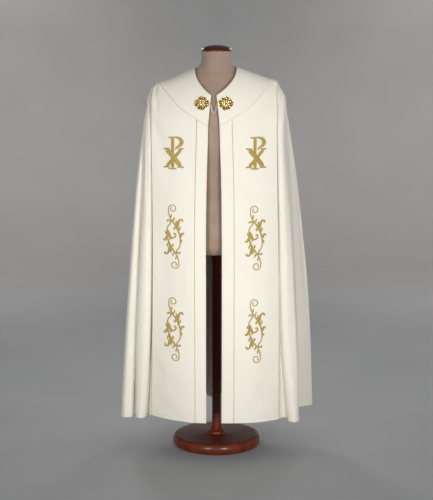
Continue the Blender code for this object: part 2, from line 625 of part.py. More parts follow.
def build_clasp(gold, stone, silver):
    """Two medals on the collar, each with a stone and an eye, and the chain between them."""
    eyes = []
    for side, word in ((-1, "left"), (1, "right")):
        lift = COLLAR_WALL + 2 * SEAM_GAP + 0.0001
        frame = surface_frame(OPENING_X + side * MEDAL_OFFSET, MEDAL_Z, side, lift)
        frame = frame @ Matrix.Rotation(math.radians(MEDAL_TURN[side]), 4, "Z")
        build_medal(f"clasp_medal_{word}", frame, gold)
        seat = MEDAL_THICK - 0.0008 + SEAM_GAP
        dome = [(0.0, seat)] + [(STONE_RADIUS * math.cos(a), seat + 0.0012 + 0.0034 * math.sin(a))
                                for a in np.radians([0, 22, 45, 68])] + [(0.0, seat + 0.0046)]
        dome.insert(1, (STONE_RADIUS, seat))
        lathe(f"clasp_stone_{word}", dome, 16, stone, frame=frame, sharp=60.0)
        reach = MEDAL_WIDTH / 2 + SEAM_GAP + LINK_WIRE / 2 + EYE_RADIUS
        centre = Vector((-side * reach, 0.0, MEDAL_THICK / 2))
        path = [frame @ (centre + Vector((EYE_RADIUS * math.cos(a), EYE_RADIUS * math.sin(a), 0)))
                for a in np.linspace(0, 2 * math.pi, 12, endpoint=False)]
        tube_loop(f"clasp_eye_{word}", path, frame.to_3x3() @ Vector((0, 0, 1)), LINK_WIRE, 6, gold)
        eyes.append(frame @ centre)
    joints = chain_joints(*eyes)
    bend, straight = (LINK_WIDTH - LINK_WIRE) / 2, (LINK_LENGTH - LINK_WIDTH) / 2
    for i, (start, end) in enumerate(zip(joints, joints[1:])):
        centre, along, facing = (start + end) / 2, (end - start).normalized(), Vector((0, 1, 0))
        facing = (facing - along * facing.dot(along)).normalized()
        across = along.cross(facing) if i % 2 == 0 else facing
        wide = across.cross(along)
        path = []
        for way in (1, -1):
            for a in np.radians([90, 45, 0, -45, -90]):
                reach = along * (straight + bend * math.cos(a)) + wide * bend * math.sin(a)
                path.append(centre + reach * way)
        tube_loop(f"chain_link_{i + 1:02d}", path, across, LINK_WIRE, 6, silver)


def main():
    for old in list(bpy.data.objects):
        bpy.data.objects.remove(old)
    cloth = material("ivory_cloth", (0.86, 0.82, 0.70), 0.75)
    linen = material("form_linen", (0.45, 0.38, 0.30), 0.85)
    wood = material("dark_wood", (0.09, 0.03, 0.015), 0.25)
    gold = material("gilt_metal", (0.80, 0.58, 0.24), 0.30, 1.0)
    silver = material("silver_chain", (0.78, 0.78, 0.76), 0.22, 1.0)
    stone = material("dark_stone", (0.06, 0.02, 0.02), 0.10)
    points, joins = garment_grid()
    build_cope(points, grid_normals(points), joins, cloth)
    build_torso(linen)
    build_stand(wood)
    build_clasp(gold, stone, silver)


main()
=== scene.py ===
import math

import bpy
import numpy as np
from mathutils import Matrix, Vector
from mathutils.bvhtree import BVHTree


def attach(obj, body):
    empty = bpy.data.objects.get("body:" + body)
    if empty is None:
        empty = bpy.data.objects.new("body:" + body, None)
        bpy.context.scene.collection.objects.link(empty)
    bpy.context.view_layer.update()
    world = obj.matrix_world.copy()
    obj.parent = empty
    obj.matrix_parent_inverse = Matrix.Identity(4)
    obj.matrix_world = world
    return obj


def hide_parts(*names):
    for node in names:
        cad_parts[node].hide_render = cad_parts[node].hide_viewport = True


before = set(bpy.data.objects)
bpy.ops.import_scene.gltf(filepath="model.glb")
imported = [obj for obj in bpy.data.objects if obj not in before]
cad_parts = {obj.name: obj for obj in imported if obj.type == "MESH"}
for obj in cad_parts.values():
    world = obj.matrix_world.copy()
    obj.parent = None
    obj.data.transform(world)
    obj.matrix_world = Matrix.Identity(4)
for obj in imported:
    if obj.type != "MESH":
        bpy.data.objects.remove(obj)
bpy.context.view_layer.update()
print("frame loaded")

# ---- camera, lights, floor

view = {"place": (0.0, -5.37, 1.635), "tilt": 81.408, "lens": 94.8, "sensorHeight": 36.0}


def setCamera():
    bpy.ops.object.camera_add(location=view["place"], rotation=(math.radians(view["tilt"]), 0, 0))
    camera = bpy.context.object
    camera.name = "camera"
    camera.data.sensor_fit = "VERTICAL"
    camera.data.sensor_height = view["sensorHeight"]
    camera.data.lens = view["lens"]
    bpy.context.scene.camera = camera


warm, warmer, pale = (1.0, 0.985, 0.960), (1.0, 0.935, 0.850), (1.0, 0.985, 0.965)
lamps = [
    # name, place, aimed at, size, watts, spread, colour
    ("keyLeft", (-1.7, -4.3, 0.85), (0, 0, 0.86), 1.0, 8.3, 50, warm),
    ("keyRight", (1.6, -4.4, 0.62), (0, 0, 0.86), 1.0, 10.3, 50, warm),
    ("neckRight", (1.5, -1.6, 2.30), (0.05, 0, 1.60), 0.5, 0.4, 30, pale),
    ("backdropLeft", (-2.2, 4.7, 3.50), (-2.5, 5.9, 1.00), 1.6, 36, 140, warmer),
    ("backdropRight", (2.2, 4.7, 3.50), (2.5, 5.9, 1.00), 1.6, 35, 140, warmer),
    ("floorLeft", (-1.4, 3.1, 2.60), (-1.4, 3.11, 0), 1.0, 3.2, 80, (1.0, 0.970, 0.930)),
    ("floorRight", (1.4, 3.1, 2.60), (1.4, 3.11, 0), 1.0, 3.2, 80, (1.0, 0.970, 0.930)),
    ("sideLeft", (-2.8, 2.0, 2.20), (0, 0, 0.90), 1.4, 9.6, 180, (1.0, 0.98, 0.96)),
    ("sideRight", (2.8, 2.0, 2.00), (0, 0, 0.90), 1.4, 16.5, 180, pale),
    ("behindLeft", (-1.5, 4.4, 2.50), (0, 0, 0.80), 1.0, 7, 60, warm),
    ("behindRight", (1.5, 4.4, 2.50), (0, 0, 0.80), 1.0, 5, 60, warm),
]


roomLight = {"colour": (0.60, 0.60, 0.59, 1), "strength": 0.45}


def setLamps():
    for name, place, aim, size, watts, spread, colour in lamps:
        turn = (Vector(aim) - Vector(place)).to_track_quat("-Z", "Y").to_euler()
        bpy.ops.object.light_add(type="AREA", location=place, rotation=turn)
        lamp = bpy.context.object
        lamp.name = name
        lamp.data.size = size
        lamp.data.energy = watts
        lamp.data.spread = math.radians(spread)
        lamp.data.color = colour
    world = bpy.data.worlds.new("studio")
    bpy.context.scene.world = world
    world.use_nodes = True
    background = world.node_tree.nodes["Background"].inputs
    background["Color"].default_value = roomLight["colour"]
    background["Strength"].default_value = roomLight["strength"]
    bpy.context.scene.view_settings.view_transform = "Standard"


def deselectAll():
    if bpy.context.object and bpy.context.object.mode != "OBJECT":
        bpy.ops.object.mode_set(mode="OBJECT")
    bpy.ops.object.select_all(action="DESELECT")


def makeActive(piece):
    deselectAll()
    piece.select_set(True)
    bpy.context.view_layer.objects.active = piece


def settleMesh(piece):
    # the place and the turn go into the mesh
    makeActive(piece)
    bpy.ops.object.transform_apply(location=True, rotation=True, scale=True)


def selectAll():
    bpy.ops.mesh.select_all(action="SELECT")


def editAll():
    bpy.ops.object.mode_set(mode="EDIT")
    selectAll()


def leaveEdit(smoothUpTo):
    # back to object mode, with edges up to this many degrees shaded smooth
    bpy.ops.object.mode_set(mode="OBJECT")
    bpy.ops.object.shade_smooth_by_angle(angle=math.radians(smoothUpTo))


def netFaces(rows, columns, around=False, first=0, flipped=False):
    # the quads of a net of points; around closes every row on itself
    net = np.arange(first, first + rows * columns).reshape(rows, columns)
    if around:
        net = np.concatenate([net, net[:, :1]], axis=1)
    a, b, c, d = net[:-1, :-1], net[:-1, 1:], net[1:, 1:], net[1:, :-1]
    return np.stack((a, d, c, b) if flipped else (a, b, c, d), axis=-1).reshape(-1, 4).tolist()


class Finish:
    # a material in the making: each step adds a node and gives back its outlet
    def __init__(self, name):
        self.material = bpy.data.materials.new(name)
        self.material.use_nodes = True
        self.nodes, self.links = self.material.node_tree.nodes, self.material.node_tree.links

    def fill(self, sockets, values):
        for key, value in values.items():
            if isinstance(value, bpy.types.NodeSocket):
                self.links.new(value, sockets[key])
            else:
                sockets[key].default_value = value

    def node(self, kind, outlet, settings, values):
        made = self.nodes.new("ShaderNode" + kind)
        for key, value in settings.items():
            setattr(made, key, value)
        self.fill(made.inputs, values)
        return made.outputs[outlet]

    def place(self):
        return self.node("TexCoord", "Object", {}, {})

    def clothUv(self):
        uv = self.node("UVMap", "UV", {"uv_map": "cloth"}, {})
        parts = self.nodes.new("ShaderNodeSeparateXYZ")
        self.links.new(uv, parts.inputs["Vector"])
        return uv, parts.outputs["X"], parts.outputs["Y"]

    def stretched(self, vector, scale):
        return self.node("Mapping", "Vector", {}, {"Vector": vector, "Scale": scale})

    def noise(self, vector, scale, detail=3.0, roughness=0.5):
        return self.node("TexNoise", "Fac", {}, {"Vector": vector, "Scale": scale, "Detail": detail,
                                                 "Roughness": roughness})

    def math(self, kind, *values, clamp=False):
        return self.node("Math", "Value", {"operation": kind, "use_clamp": clamp}, dict(enumerate(values)))

    def times(self, first, second):
        return self.math("MULTIPLY", first, second)

    def plus(self, first, second):
        return self.math("ADD", first, second)

    def sine(self, value, turns):
        return self.math("SINE", self.times(value, turns))

    def ramp(self, level, *stops):
        made = self.nodes.new("ShaderNodeValToRGB")
        for element, (at, colour) in zip(made.color_ramp.elements, stops):
            element.position, element.color = at, (*colour, 1)
        self.links.new(level, made.inputs["Fac"])
        return made.outputs["Color"]

    def bump(self, height, strength, distance, under=None):
        values = {"Strength": strength, "Distance": distance, "Height": height}
        return self.node("Bump", "Normal", {}, values if under is None else {**values, "Normal": under})

    def finished(self, colour, normal, roughness, **others):
        values = {key.replace("_", " "): value for key, value in others.items()}
        values["Base Color"], values["Roughness"] = colour, roughness
        if normal is not None:
            values["Normal"] = normal
        self.fill(self.nodes["Principled BSDF"].inputs, values)
        return self.material


floorLook = {"half": 7.0, "back": 4.6, "bend": 1.8, "steps": 14, "rise": 3.5, "colour": (0.382, 0.388, 0.406)}


def makeFloor():
    # flat as far as the back edge, then bent up into a backdrop
    sizes = floorLook
    profile = [(-sizes["half"], 0)]
    for k in range(sizes["steps"] + 1):
        turn = math.pi / 2 * k / sizes["steps"]
        profile.append((sizes["back"] + sizes["bend"] * math.sin(turn), sizes["bend"] * (1 - math.cos(turn))))
    profile.append((profile[-1][0], profile[-1][1] + sizes["rise"]))
    data = bpy.data.meshes.new("studio_floor")
    data.from_pydata([(x, y, z) for y, z in profile for x in (-sizes["half"], sizes["half"])], [],
                     netFaces(len(profile), 2))
    data.shade_smooth()
    floor = bpy.data.objects.new("studio_floor", data)
    bpy.context.scene.collection.objects.link(floor)
    look = Finish("pale_floor")
    dark, light = [tuple(c * share for c in sizes["colour"]) for share in (0.97, 1.03)]
    colour = look.ramp(look.noise(look.place(), 2.5, 4.0), (0.3, dark), (0.7, light))
    data.materials.append(look.finished(colour, None, 0.85))


setCamera()
setLamps()
makeFloor()
print("camera, lamps and floor set")

# ---- finishes

clothLook = {
    "cream": (0.745, 0.716, 0.641), "shade": (0.722, 0.690, 0.608), "thread": 0.00085,
    "weave": 0.35, "weaveDepth": 0.00022, "hemLine": 0.0150, "edgeLine": 0.0060, "collarLine": 0.0045,
    # the stitch lines' colour is painted shade for their sunk groove
    "stitch": 0.0042, "lineWidth": 0.0011, "lineDepth": 0.0006, "stitchLineShade": (0.80, 0.76, 0.68, 1),
}


def clothMaterial(name, hemLine, edgeLine=None):
    # woven wool and silk: fine plain weave, slubs, a soft sheen, and a row of stitches over the hem
    look = Finish(name)
    uv, across, up = look.clothUv()
    turns = 2 * math.pi / clothLook["thread"]
    weave = look.times(look.sine(across, turns), look.sine(up, turns * 1.15))
    slubs = look.noise(look.stretched(uv, (1.0, 0.06, 1.0)), 260, 2.0)
    mottle = look.noise(look.place(), 5.0, 4.0, 0.55)
    tone = look.plus(look.times(mottle, 0.75), look.times(slubs, 0.25))
    colour = look.ramp(tone, (0.36, clothLook["shade"]), (0.60, clothLook["cream"]))
    threads = look.plus(look.times(weave, 0.5), slubs)
    normal = look.bump(threads, clothLook["weave"], clothLook["weaveDepth"])
    for line, over, along in ((hemLine, up, across), (edgeLine, across, up)):
        if line is None:
            continue
        # a sunk line with a stitch every few millimetres, its colour darkened with the dip as painted shade in the
        # groove
        off = look.math("ABSOLUTE", look.math("SUBTRACT", over, line))
        inLine = look.math("SUBTRACT", 1.0, look.math("DIVIDE", off, clothLook["lineWidth"]), clamp=True)
        beat = look.sine(along, 2 * math.pi / clothLook["stitch"])
        dip = look.times(inLine, look.plus(look.times(beat, 0.25), 0.75))
        normal = look.bump(look.times(dip, -1.0), 0.8, clothLook["lineDepth"], normal)
        colour = look.node("Mix", "Result", {"data_type": "RGBA", "blend_type": "MULTIPLY"}, {
            "B": clothLook["stitchLineShade"], "Factor": look.times(dip, 0.55), "A": colour})
    return look.finished(colour, normal, 0.72, Sheen_Weight=0.16, Sheen_Roughness=0.45, Specular_IOR_Level=0.28)


# the dark ends are partly painted shade between the threads, for the satin and the cord alike
goldThreadLook = {"light": (0.470, 0.340, 0.082), "dark": (0.285, 0.200, 0.038), "stitch": 0.00075}
cordLook = {"light": (0.600, 0.480, 0.280), "dark": (0.240, 0.175, 0.085), "stitch": 0.00075}


def goldThreadMaterial(name, sizes, slant, shine):
    # satin stitches of gold thread, laid across the shape; the colour is darker where the threads dip, as painted
    # shade between them, and varies at random with the wobble
    look = Finish(name)
    uv, across, along = look.clothUv()
    wobble = look.noise(uv, 900, 2.0)
    run = look.plus(along, look.times(across, slant))
    phase = look.plus(look.times(run, 2 * math.pi / sizes["stitch"]), look.times(wobble, 2.2))
    threads = look.plus(look.times(look.math("SINE", phase), 0.5), 0.5)
    tone = look.plus(look.times(threads, 0.55), look.times(wobble, 0.45))
    colour = look.ramp(tone, (0.18, sizes["dark"]), (0.62, sizes["light"]))
    return look.finished(colour, look.bump(threads, 0.7, 0.00035), 0.40, Metallic=shine, Sheen_Weight=0.1)


metalLook = {
    "gilt": {"bright": (1.00, 0.80, 0.42), "deep": (0.20, 0.105, 0.025), "roughness": 0.25},
    # the medals' back plate: gilt painted near black, as painted shade in the hollows between the wires
    "giltPaintedShade": {"bright": (0.13, 0.072, 0.020), "deep": (0.04, 0.020, 0.005), "roughness": 0.50},
    "silver": {"bright": (0.96, 0.95, 0.94), "deep": (0.35, 0.33, 0.32), "roughness": 0.28},
}


def metalMaterial(name, sizes):
    # bright on the worn edges, dark in the hollows
    look = Finish(name)
    grain = look.noise(look.place(), 420, 4.0, 0.6)
    worn = look.node("NewGeometry", "Pointiness", {}, {})
    level = look.plus(worn, look.times(look.math("SUBTRACT", grain, 0.5), 0.16))
    colour = look.ramp(level, (0.40, sizes["deep"]), (0.52, sizes["bright"]))
    rough = look.plus(look.times(grain, 0.22), sizes["roughness"] - 0.11)
    return look.finished(colour, look.bump(grain, 0.25, 0.0003), rough, Metallic=1.0)


woodLook = {"light": (0.160, 0.027, 0.008), "dark": (0.075, 0.012, 0.004), "polish": 0.22}


def woodMaterial(name, alongZ, depth=1.0):
    # polished red-brown hardwood: long wavering grain and fine pores under a clear polish
    look = Finish(name)
    along = look.stretched(look.place(), (1.0, 1.0, 0.08) if alongZ else (0.10, 1.0, 1.0))
    waver = look.noise(along, 9.0, 6.0, 0.6)
    wave = look.node("TexWave", "Fac", {"bands_direction": "X" if alongZ else "Y"},
                     {"Vector": along, "Scale": 7.0, "Distortion": 7.0, "Detail": 3.0})
    grain = look.plus(look.times(wave, 0.30), look.times(waver, 0.70))
    dark, light = [tuple(c * depth for c in woodLook[key]) for key in ("dark", "light")]
    pores = look.bump(look.noise(along, 210.0, 3.0, 0.6), 0.12, 0.0004)
    return look.finished(look.ramp(grain, (0.20, dark), (0.80, light)), pores, 0.34, Specular_IOR_Level=0.22,
                         Coat_Weight=woodLook["polish"] * depth, Coat_Roughness=0.16)


linenLook = {"light": (0.372, 0.272, 0.209), "dark": (0.262, 0.184, 0.136), "thread": 0.0016}


def linenMaterial(name):
    # coarse natural linen
    look = Finish(name)
    uv, across, up = look.clothUv()
    turns = 2 * math.pi / linenLook["thread"]
    weave = look.times(look.sine(across, turns), look.sine(up, turns))
    slubs = look.noise(uv, 170, 3.0, 0.65)
    tone = look.plus(look.times(slubs, 0.6), look.times(look.noise(look.place(), 14, 3.0), 0.4))
    colour = look.ramp(tone, (0.35, linenLook["dark"]), (0.65, linenLook["light"]))
    return look.finished(colour, look.bump(look.plus(weave, slubs), 0.5, 0.0003), 0.88, Sheen_Weight=0.12)


stoneLook = {"light": (0.045, 0.020, 0.010), "dark": (0.008, 0.004, 0.003), "roughness": 0.10}


def stoneMaterial(name):
    # dark brown glass paste: cloudy, with a few scratches in its polish
    look = Finish(name)
    cloud = look.noise(look.place(), 520, 3.0, 0.6)
    scratch = look.noise(look.place(), 2600, 2.0, 0.5)
    colour = look.ramp(cloud, (0.35, stoneLook["dark"]), (0.70, stoneLook["light"]))
    rough = look.plus(look.times(scratch, 0.25), stoneLook["roughness"])
    return look.finished(colour, look.bump(scratch, 0.10, 0.0002), rough)


finishes = {
    "hemmedCloth": clothMaterial("ivory_cloth_hemmed", clothLook["hemLine"]),
    "bandCloth": clothMaterial("ivory_cloth_band", clothLook["hemLine"], clothLook["edgeLine"]),
    "hemmedCollar": clothMaterial("ivory_cloth_collar", clothLook["collarLine"]),
    "satin": goldThreadMaterial("gold_satin_stitch", goldThreadLook, 0.0, 0.16),
    "cord": goldThreadMaterial("gold_cord", cordLook, 0.9, 0.25),
    "gilt": metalMaterial("gilt_knotwork", metalLook["gilt"]),
    "giltPaintedShade": metalMaterial("gilt_plate_painted_shade", metalLook["giltPaintedShade"]),
    "silver": metalMaterial("silver_wire", metalLook["silver"]),
    "stone": stoneMaterial("dark_centre"),
    "turnedWood": woodMaterial("polished_wood_flat", False),
    "poleWood": woodMaterial("polished_wood_long", True),
    "capWood": woodMaterial("dark_wood_cap", False, 0.5),
    "linen": linenMaterial("form_linen_weave"),
}
print("finishes made")

# ---- the cope's shape: rings from the neckline to the hem, columns from front edge to front edge

cope = {
    "hemZ": 0.1435, "openingX": -0.0105, "bandWidth": {-1: 0.0455, 1: 0.0495},
    "chestZ": 1.330, "chestDepth": 0.130, "chestSpread": 0.395,
    "edgeDepthHem": 0.200, "seamDepthHem": {-1: 0.076, 1: 0.136}, "hemCurve": {-1: 1.87, 1: 3.0},
    "neckSide": (0.0835, 1.567), "shoulder": (0.2415, 1.504), "shift": (-0.003, 1.45, 0.10),
    "lean": (0.034, 1.330, 0.17), "fallCurve": 1.15, "bandMost": 0.42, "bunching": (2.0, 1.2),
    "squareness": (2.0, 2.3), "middleX": -0.03, "neckRise": 1.15, "frontRise": 1.1, "collarFade": 5,
    "lipFrom": 0.93, "tuckReach": 0.3, "edgeRoom": 0.6,
    "bandColumns": 2, "orphreyColumns": 8, "collarRing": 3, "shoulderRing": 4,
    "flankDrop": 0.42, "valleyWidth": 0.006, "lip": {-1: 0.013, 1: 0.026}, "foldGrowth": 0.85,
    "seamFoldTop": (1.45, 1.30), "seamGap": 0.0003, "wall": 0.0017, "collarWall": 0.0022,
}
frontRings = [
    # edge, edge height, left seam, right seam, seam height
    (0.0100, 1.462, None, None, None),
    (0.0150, 1.420, None, None, None),
    (0.0190, 1.380, None, None, None),
    (0.0225, 1.339, None, None, None),
    (0.0232, 1.312, None, None, None),
    (0.0240, 1.280, 0.2490, 0.2525, 1.464),
    (0.0255, 1.230, 0.2505, 0.2525, 1.405),
    (0.0278, 1.165, 0.2510, 0.2525, 1.320),
    (0.0302, 1.060, 0.2496, 0.2540, 1.180),
    (0.0318, 0.890, 0.2480, 0.2585, 0.960),
    (0.0319, 0.650, 0.2497, 0.2630, 0.680),
    (0.0316, 0.390, 0.2538, 0.2655, 0.400),
    (0.0310, 0.1435, 0.2588, 0.2667, 0.1435),
]
bodyRings = [
    # left and right half-width, middle from front to back, depth and height at the centre back
    (0.0835, 0.0835, 0.000, 0.0800, 1.582),
    (0.1320, 0.1320, 0.000, 0.1150, 1.533),
    (0.1800, 0.1800, 0.000, 0.1360, 1.470),
    (0.2285, 0.2285, 0.000, 0.1500, 1.398),
    (0.2415, 0.2415, 0.000, 0.1540, 1.368),
    (0.2700, 0.2780, 0.006, 0.1580, 1.335),
    (0.2840, 0.2880, 0.010, 0.1650, 1.288),
    (0.2930, 0.2970, 0.014, 0.1720, 1.215),
    (0.3060, 0.3115, 0.018, 0.1820, 1.100),
    (0.3200, 0.3290, 0.024, 0.1960, 0.915),
    (0.3350, 0.3480, 0.030, 0.2120, 0.660),
    (0.3470, 0.3560, 0.036, 0.2250, 0.395),
    (0.3550, 0.3570, 0.040, 0.2350, 0.1435),
]
collarEdge = [(0.00, 0.015), (0.06, 0.020), (0.20, 0.150), (0.47, 0.325), (0.64, 0.500), (0.77, 0.690),
              (0.92, 0.880), (1.00, 1.000)]
folds = [
    # valley x, valley y, crest x, crest y, faces, width, drop, start height
    (-0.288, -0.047, -0.316, -0.111, 262, 0.044, 0.003, 1.500),
    (-0.341, -0.064, -0.382, -0.103, 245, 0.054, 0.002, 1.500),
    (-0.352, 0.004, -0.401, 0.054, 178, 0.044, 0.000, 1.480),
    (-0.334, 0.083, -0.369, 0.131, 146, 0.046, 0.002, 1.460),
    (-0.301, 0.121, -0.311, 0.199, 126, 0.050, 0.003, 1.420),
    (-0.243, 0.166, -0.237, 0.234, 114, 0.044, 0.002, 1.360),
    (-0.178, 0.196, -0.152, 0.268, 104, 0.050, 0.003, 1.280),
    (-0.095, 0.218, -0.065, 0.276, 96, 0.046, 0.002, 1.200),
    (-0.018, 0.219, 0.028, 0.284, 88, 0.052, 0.003, 1.180),
    (0.067, 0.223, 0.110, 0.271, 80, 0.044, 0.001, 1.250),
    (0.136, 0.207, 0.198, 0.256, 71, 0.048, 0.003, 1.330),
    (0.219, 0.181, 0.284, 0.212, 59, 0.052, 0.002, 1.400),
    (0.277, 0.141, 0.349, 0.157, 43, 0.046, 0.002, 1.440),
    (0.330, 0.104, 0.407, 0.074, 332, 0.056, 0.000, 1.480),
    (0.320, 0.030, 0.319, -0.165, 280, 0.048, 0.005, 1.500),
]
lastValley = (0.287, -0.124)
# The fold beside each outer seam where it hangs close to it: share of the way to the fold's far
# side, and how far it stands out.
seamFolds = {
    -1: [(0.014, -0.090), (0.038, -0.135), (0.082, -0.050), (0.122, 0.070), (0.256, 0.179), (0.401, 0.213),
         (0.591, 0.136), (0.765, -0.016), (0.878, -0.147), (0.941, -0.168), (1.000, 0.000)],
    1: [(0.020, -0.060), (0.048, -0.090), (0.088, -0.040), (0.135, 0.068), (0.310, 0.186), (0.522, 0.219),
        (0.751, 0.131), (1.000, 0.000)],
}
# ring: how far that fold reaches, left and right, how far it has parted from the seam, and how deep
# the cloth is tucked in beside the seam, left and right
seamRings = {5: (1.0, 0.66, 0.0, 1.0, 1.0), 6: (1.0, 0.66, 0.0, 1.0, 1.0), 7: (1.0, 0.66, 0.0, 1.2, 1.4),
             8: (1.0, 0.68, 0.0, 1.8, 2.8), 9: (1.0, 0.74, 0.0, 2.3, 2.2), 10: (1.0, 0.78, 0.0, 2.3, 0.8),
             11: (1.0, 0.86, 0.2, 2.0, 0.8)}
# Valleys of the body drawn in straight back: how many columns from the seam, half-width in columns,
# depth, top and foot.
sinks = {
    -1: [(29.4, 1.9, 0.012, 1.20, 0.16), (42.5, 3.4, 0.007, 1.15, 0.00)],
    1: [(5.0, 3.6, 0.010, 0.75, -0.10), (10.0, 4.5, 0.008, 0.55, -0.10), (38.0, 5.0, 0.012, 1.20, 0.00)],
}


def lerp(a, b, t):
    return a + (b - a) * t


def limited(value):
    return min(1.0, max(0.0, value))


def ease(t):
    return 3 * t ** 2 - 2 * t ** 3


def curveShares(t):
    # how much each end of a span and each end's slope count at t
    return 2 * t ** 3 - 3 * t ** 2 + 1, ease(t), t ** 3 - 2 * t ** 2 + t, t ** 3 - t ** 2


def unit(vectors):
    return vectors / np.linalg.norm(vectors, axis=-1, keepdims=True)


def stepLengths(points):
    return np.linalg.norm(np.diff(points, axis=0), axis=-1)


def runDown(points):
    # running length down the first axis, from 0
    steps = stepLengths(points)
    return np.concatenate([np.zeros((1, *steps.shape[1:])), np.cumsum(steps, axis=0)])


def ridgeHeight(x):
    (nearX, nearZ), (farX, farZ) = cope["neckSide"], cope["shoulder"]
    return nearZ - (abs(x) - nearX) * (nearZ - farZ) / (farX - nearX)


def seamReach(row, side):
    return row[2] if side < 0 else row[3]


def frontDepth(x, z, side):
    # rounded over the breast, then hanging straight to the hem
    breast = cope["chestDepth"] * (1 - (x / cope["chestSpread"]) ** 2)
    if z >= cope["chestZ"]:
        rise = min(1.0, (z - cope["chestZ"]) / (ridgeHeight(x) - cope["chestZ"]))
        return -breast * math.sqrt(1 - rise * rise)
    fall = ((cope["chestZ"] - z) / (cope["chestZ"] - cope["hemZ"])) ** cope["fallCurve"]
    last = frontRings[-1]
    across = limited((abs(x - cope["openingX"]) - last[0]) / (seamReach(last, side) - last[0]))
    hem = lerp(cope["edgeDepthHem"], cope["seamDepthHem"][side], across ** cope["hemCurve"][side])
    return -lerp(breast, hem, fall)


def seamPlace(ring, side):
    if ring <= cope["shoulderRing"]:
        return side * bodyRings[ring][0], ridgeHeight(bodyRings[ring][0])
    row = frontRings[ring]
    return cope["openingX"] + side * seamReach(row, side), row[4]


def frontPoint(ring, across, side):
    # round the neck at the top, along the collar's edge below it, then ever straighter
    row = frontRings[ring]
    seamX, seamZ = seamPlace(ring, side)
    collarRise = np.interp(across, [p[0] for p in collarEdge], [p[1] for p in collarEdge])
    neck = max(0.0, 1 - ring / cope["collarRing"])
    below = max(0.0, 1 - abs(ring - cope["collarRing"]) / cope["collarFade"])
    shareX = lerp(across, math.sin(across * math.pi / 2), neck)
    if ring <= cope["collarRing"]:
        shareZ = lerp(collarRise, across ** cope["neckRise"], neck)
    else:
        shareZ = lerp(across ** cope["frontRise"], collarRise, below)
    x = lerp(cope["openingX"] + side * row[0], seamX, shareX)
    z = lerp(row[1], seamZ, shareZ)
    return Vector((x, frontDepth(x, z, side), z))


def belowShoulder(ring):
    return max(0, ring - cope["shoulderRing"]) / (len(bodyRings) - 1 - cope["shoulderRing"])


def frontShares(ring, side):
    # where the columns run from the front edge to the outer seam, closer together towards the seam
    seamX, _ = seamPlace(ring, side)
    whole = abs(seamX - (cope["openingX"] + side * frontRings[ring][0]))
    band = min(cope["bandMost"], cope["bandWidth"][side] / whole)
    shares = [band * i / cope["bandColumns"] for i in range(cope["bandColumns"])]
    bunching = lerp(*cope["bunching"], belowShoulder(ring))
    count = cope["orphreyColumns"]
    return shares + [lerp(band, 1.0, 1 - (1 - i / count) ** bunching) for i in range(count)]


def outlinePoint(ring, turn, side):
    # the body with no folds: turn is 0 at the seam and 1 at the centre back
    left, right, middleY, backY, backZ = bodyRings[ring]
    reach = left if side < 0 else right
    seam = frontPoint(ring, 1.0, side)
    power = lerp(*cope["squareness"], belowShoulder(ring))
    start = -math.acos(min(1.0, abs(seam.x) / reach) ** (power / 2))
    angle = lerp(start, math.pi / 2, turn)
    x = side * reach * abs(math.cos(angle)) ** (2 / power)
    bulge = abs(math.sin(angle)) ** (2 / power)
    if angle < 0:
        y = middleY - (middleY - seam.y) * bulge / abs(math.sin(start)) ** (2 / power)
    else:
        y = middleY + (backY - middleY) * bulge
    return Vector((x, y, lerp(seam.z, backZ, math.sin(turn * math.pi / 2) ** 2)))


def roundCurve(points, index, t):
    near = [points[max(0, min(len(points) - 1, index + k))] for k in (-1, 0, 1, 2)]
    gaps = [max(1e-4, math.sqrt((b - a).length)) for a, b in zip(near, near[1:])]
    steps = [(b - a) / gap for a, b, gap in zip(near, near[1:], gaps)]
    leave = (steps[0] * gaps[1] + steps[1] * gaps[0]) / (gaps[0] + gaps[1]) * gaps[1]
    arrive = (steps[1] * gaps[2] + steps[2] * gaps[1]) / (gaps[1] + gaps[2]) * gaps[1]
    first, last, out, back = curveShares(t)
    return near[1] * first + near[2] * last + leave * out + arrive * back


def hemPoints():
    # the body's hem through its folds, with each point's place round the body and its fold's start
    hem = len(bodyRings) - 1
    seams = [frontPoint(hem, 1.0, side) for side in (-1, 1)]
    lips = [seam + (seam - frontPoint(hem, cope["lipFrom"], side)).normalized() * cope["lip"][side]
            for seam, side in zip(seams, (-1, 1))]
    points, starts, steps, valleys = [seams[0], lips[0]], [folds[0][7]] * 2, [1, 1], [0]
    along = None
    for valleyX, valleyY, crestX, crestY, facing, width, drop, startZ in folds:
        faces = Vector((math.cos(math.radians(facing)), math.sin(math.radians(facing)), 0))
        aside = Vector((faces.y, -faces.x, 0))
        across = ((along or aside) + aside).normalized() * (cope["valleyWidth"] / 2)
        along = aside
        valley = Vector((valleyX, valleyY, cope["hemZ"]))
        crest = Vector((crestX, crestY, cope["hemZ"] - drop))
        back, flank = crest - faces * (width * cope["flankDrop"]), aside * (width / 2)
        valleys.append(len(points))
        points += [valley - across, valley + across, back - flank, crest, back + flank]
        starts += [startZ] * 5
        steps += [1, 1, 2, 2, 1]
    valley, across = Vector((*lastValley, cope["hemZ"])), along * (cope["valleyWidth"] / 2)
    valleys += [len(points), len(points) + 3]
    points += [valley - across, valley + across, lips[1], seams[1]]
    starts += [folds[-1][7]] * 4
    steps += [1, 1, 1]
    spans = [(points[b] - points[a]).length for a, b in zip(valleys, valleys[1:])]
    run = np.concatenate([[0.0], np.cumsum(spans)])
    middle = run[[points[v].x < cope["middleX"] for v in valleys].index(False)]
    rounds = np.interp(run, [0.0, middle, run[-1]], [0.0, 0.5, 1.0])
    return points, np.interp(range(len(points)), valleys, rounds), starts, steps


def bodyPoint(ring, column):
    at, hem, startZ = column
    side = -1 if at < 0.5 else 1
    turn = at * 2 if at < 0.5 else (1 - at) * 2
    here = outlinePoint(ring, turn, side)
    grown = limited((startZ - here.z) / (startZ - cope["hemZ"])) ** cope["foldGrowth"]
    return here + (hem - outlinePoint(len(bodyRings) - 1, turn, side)) * grown


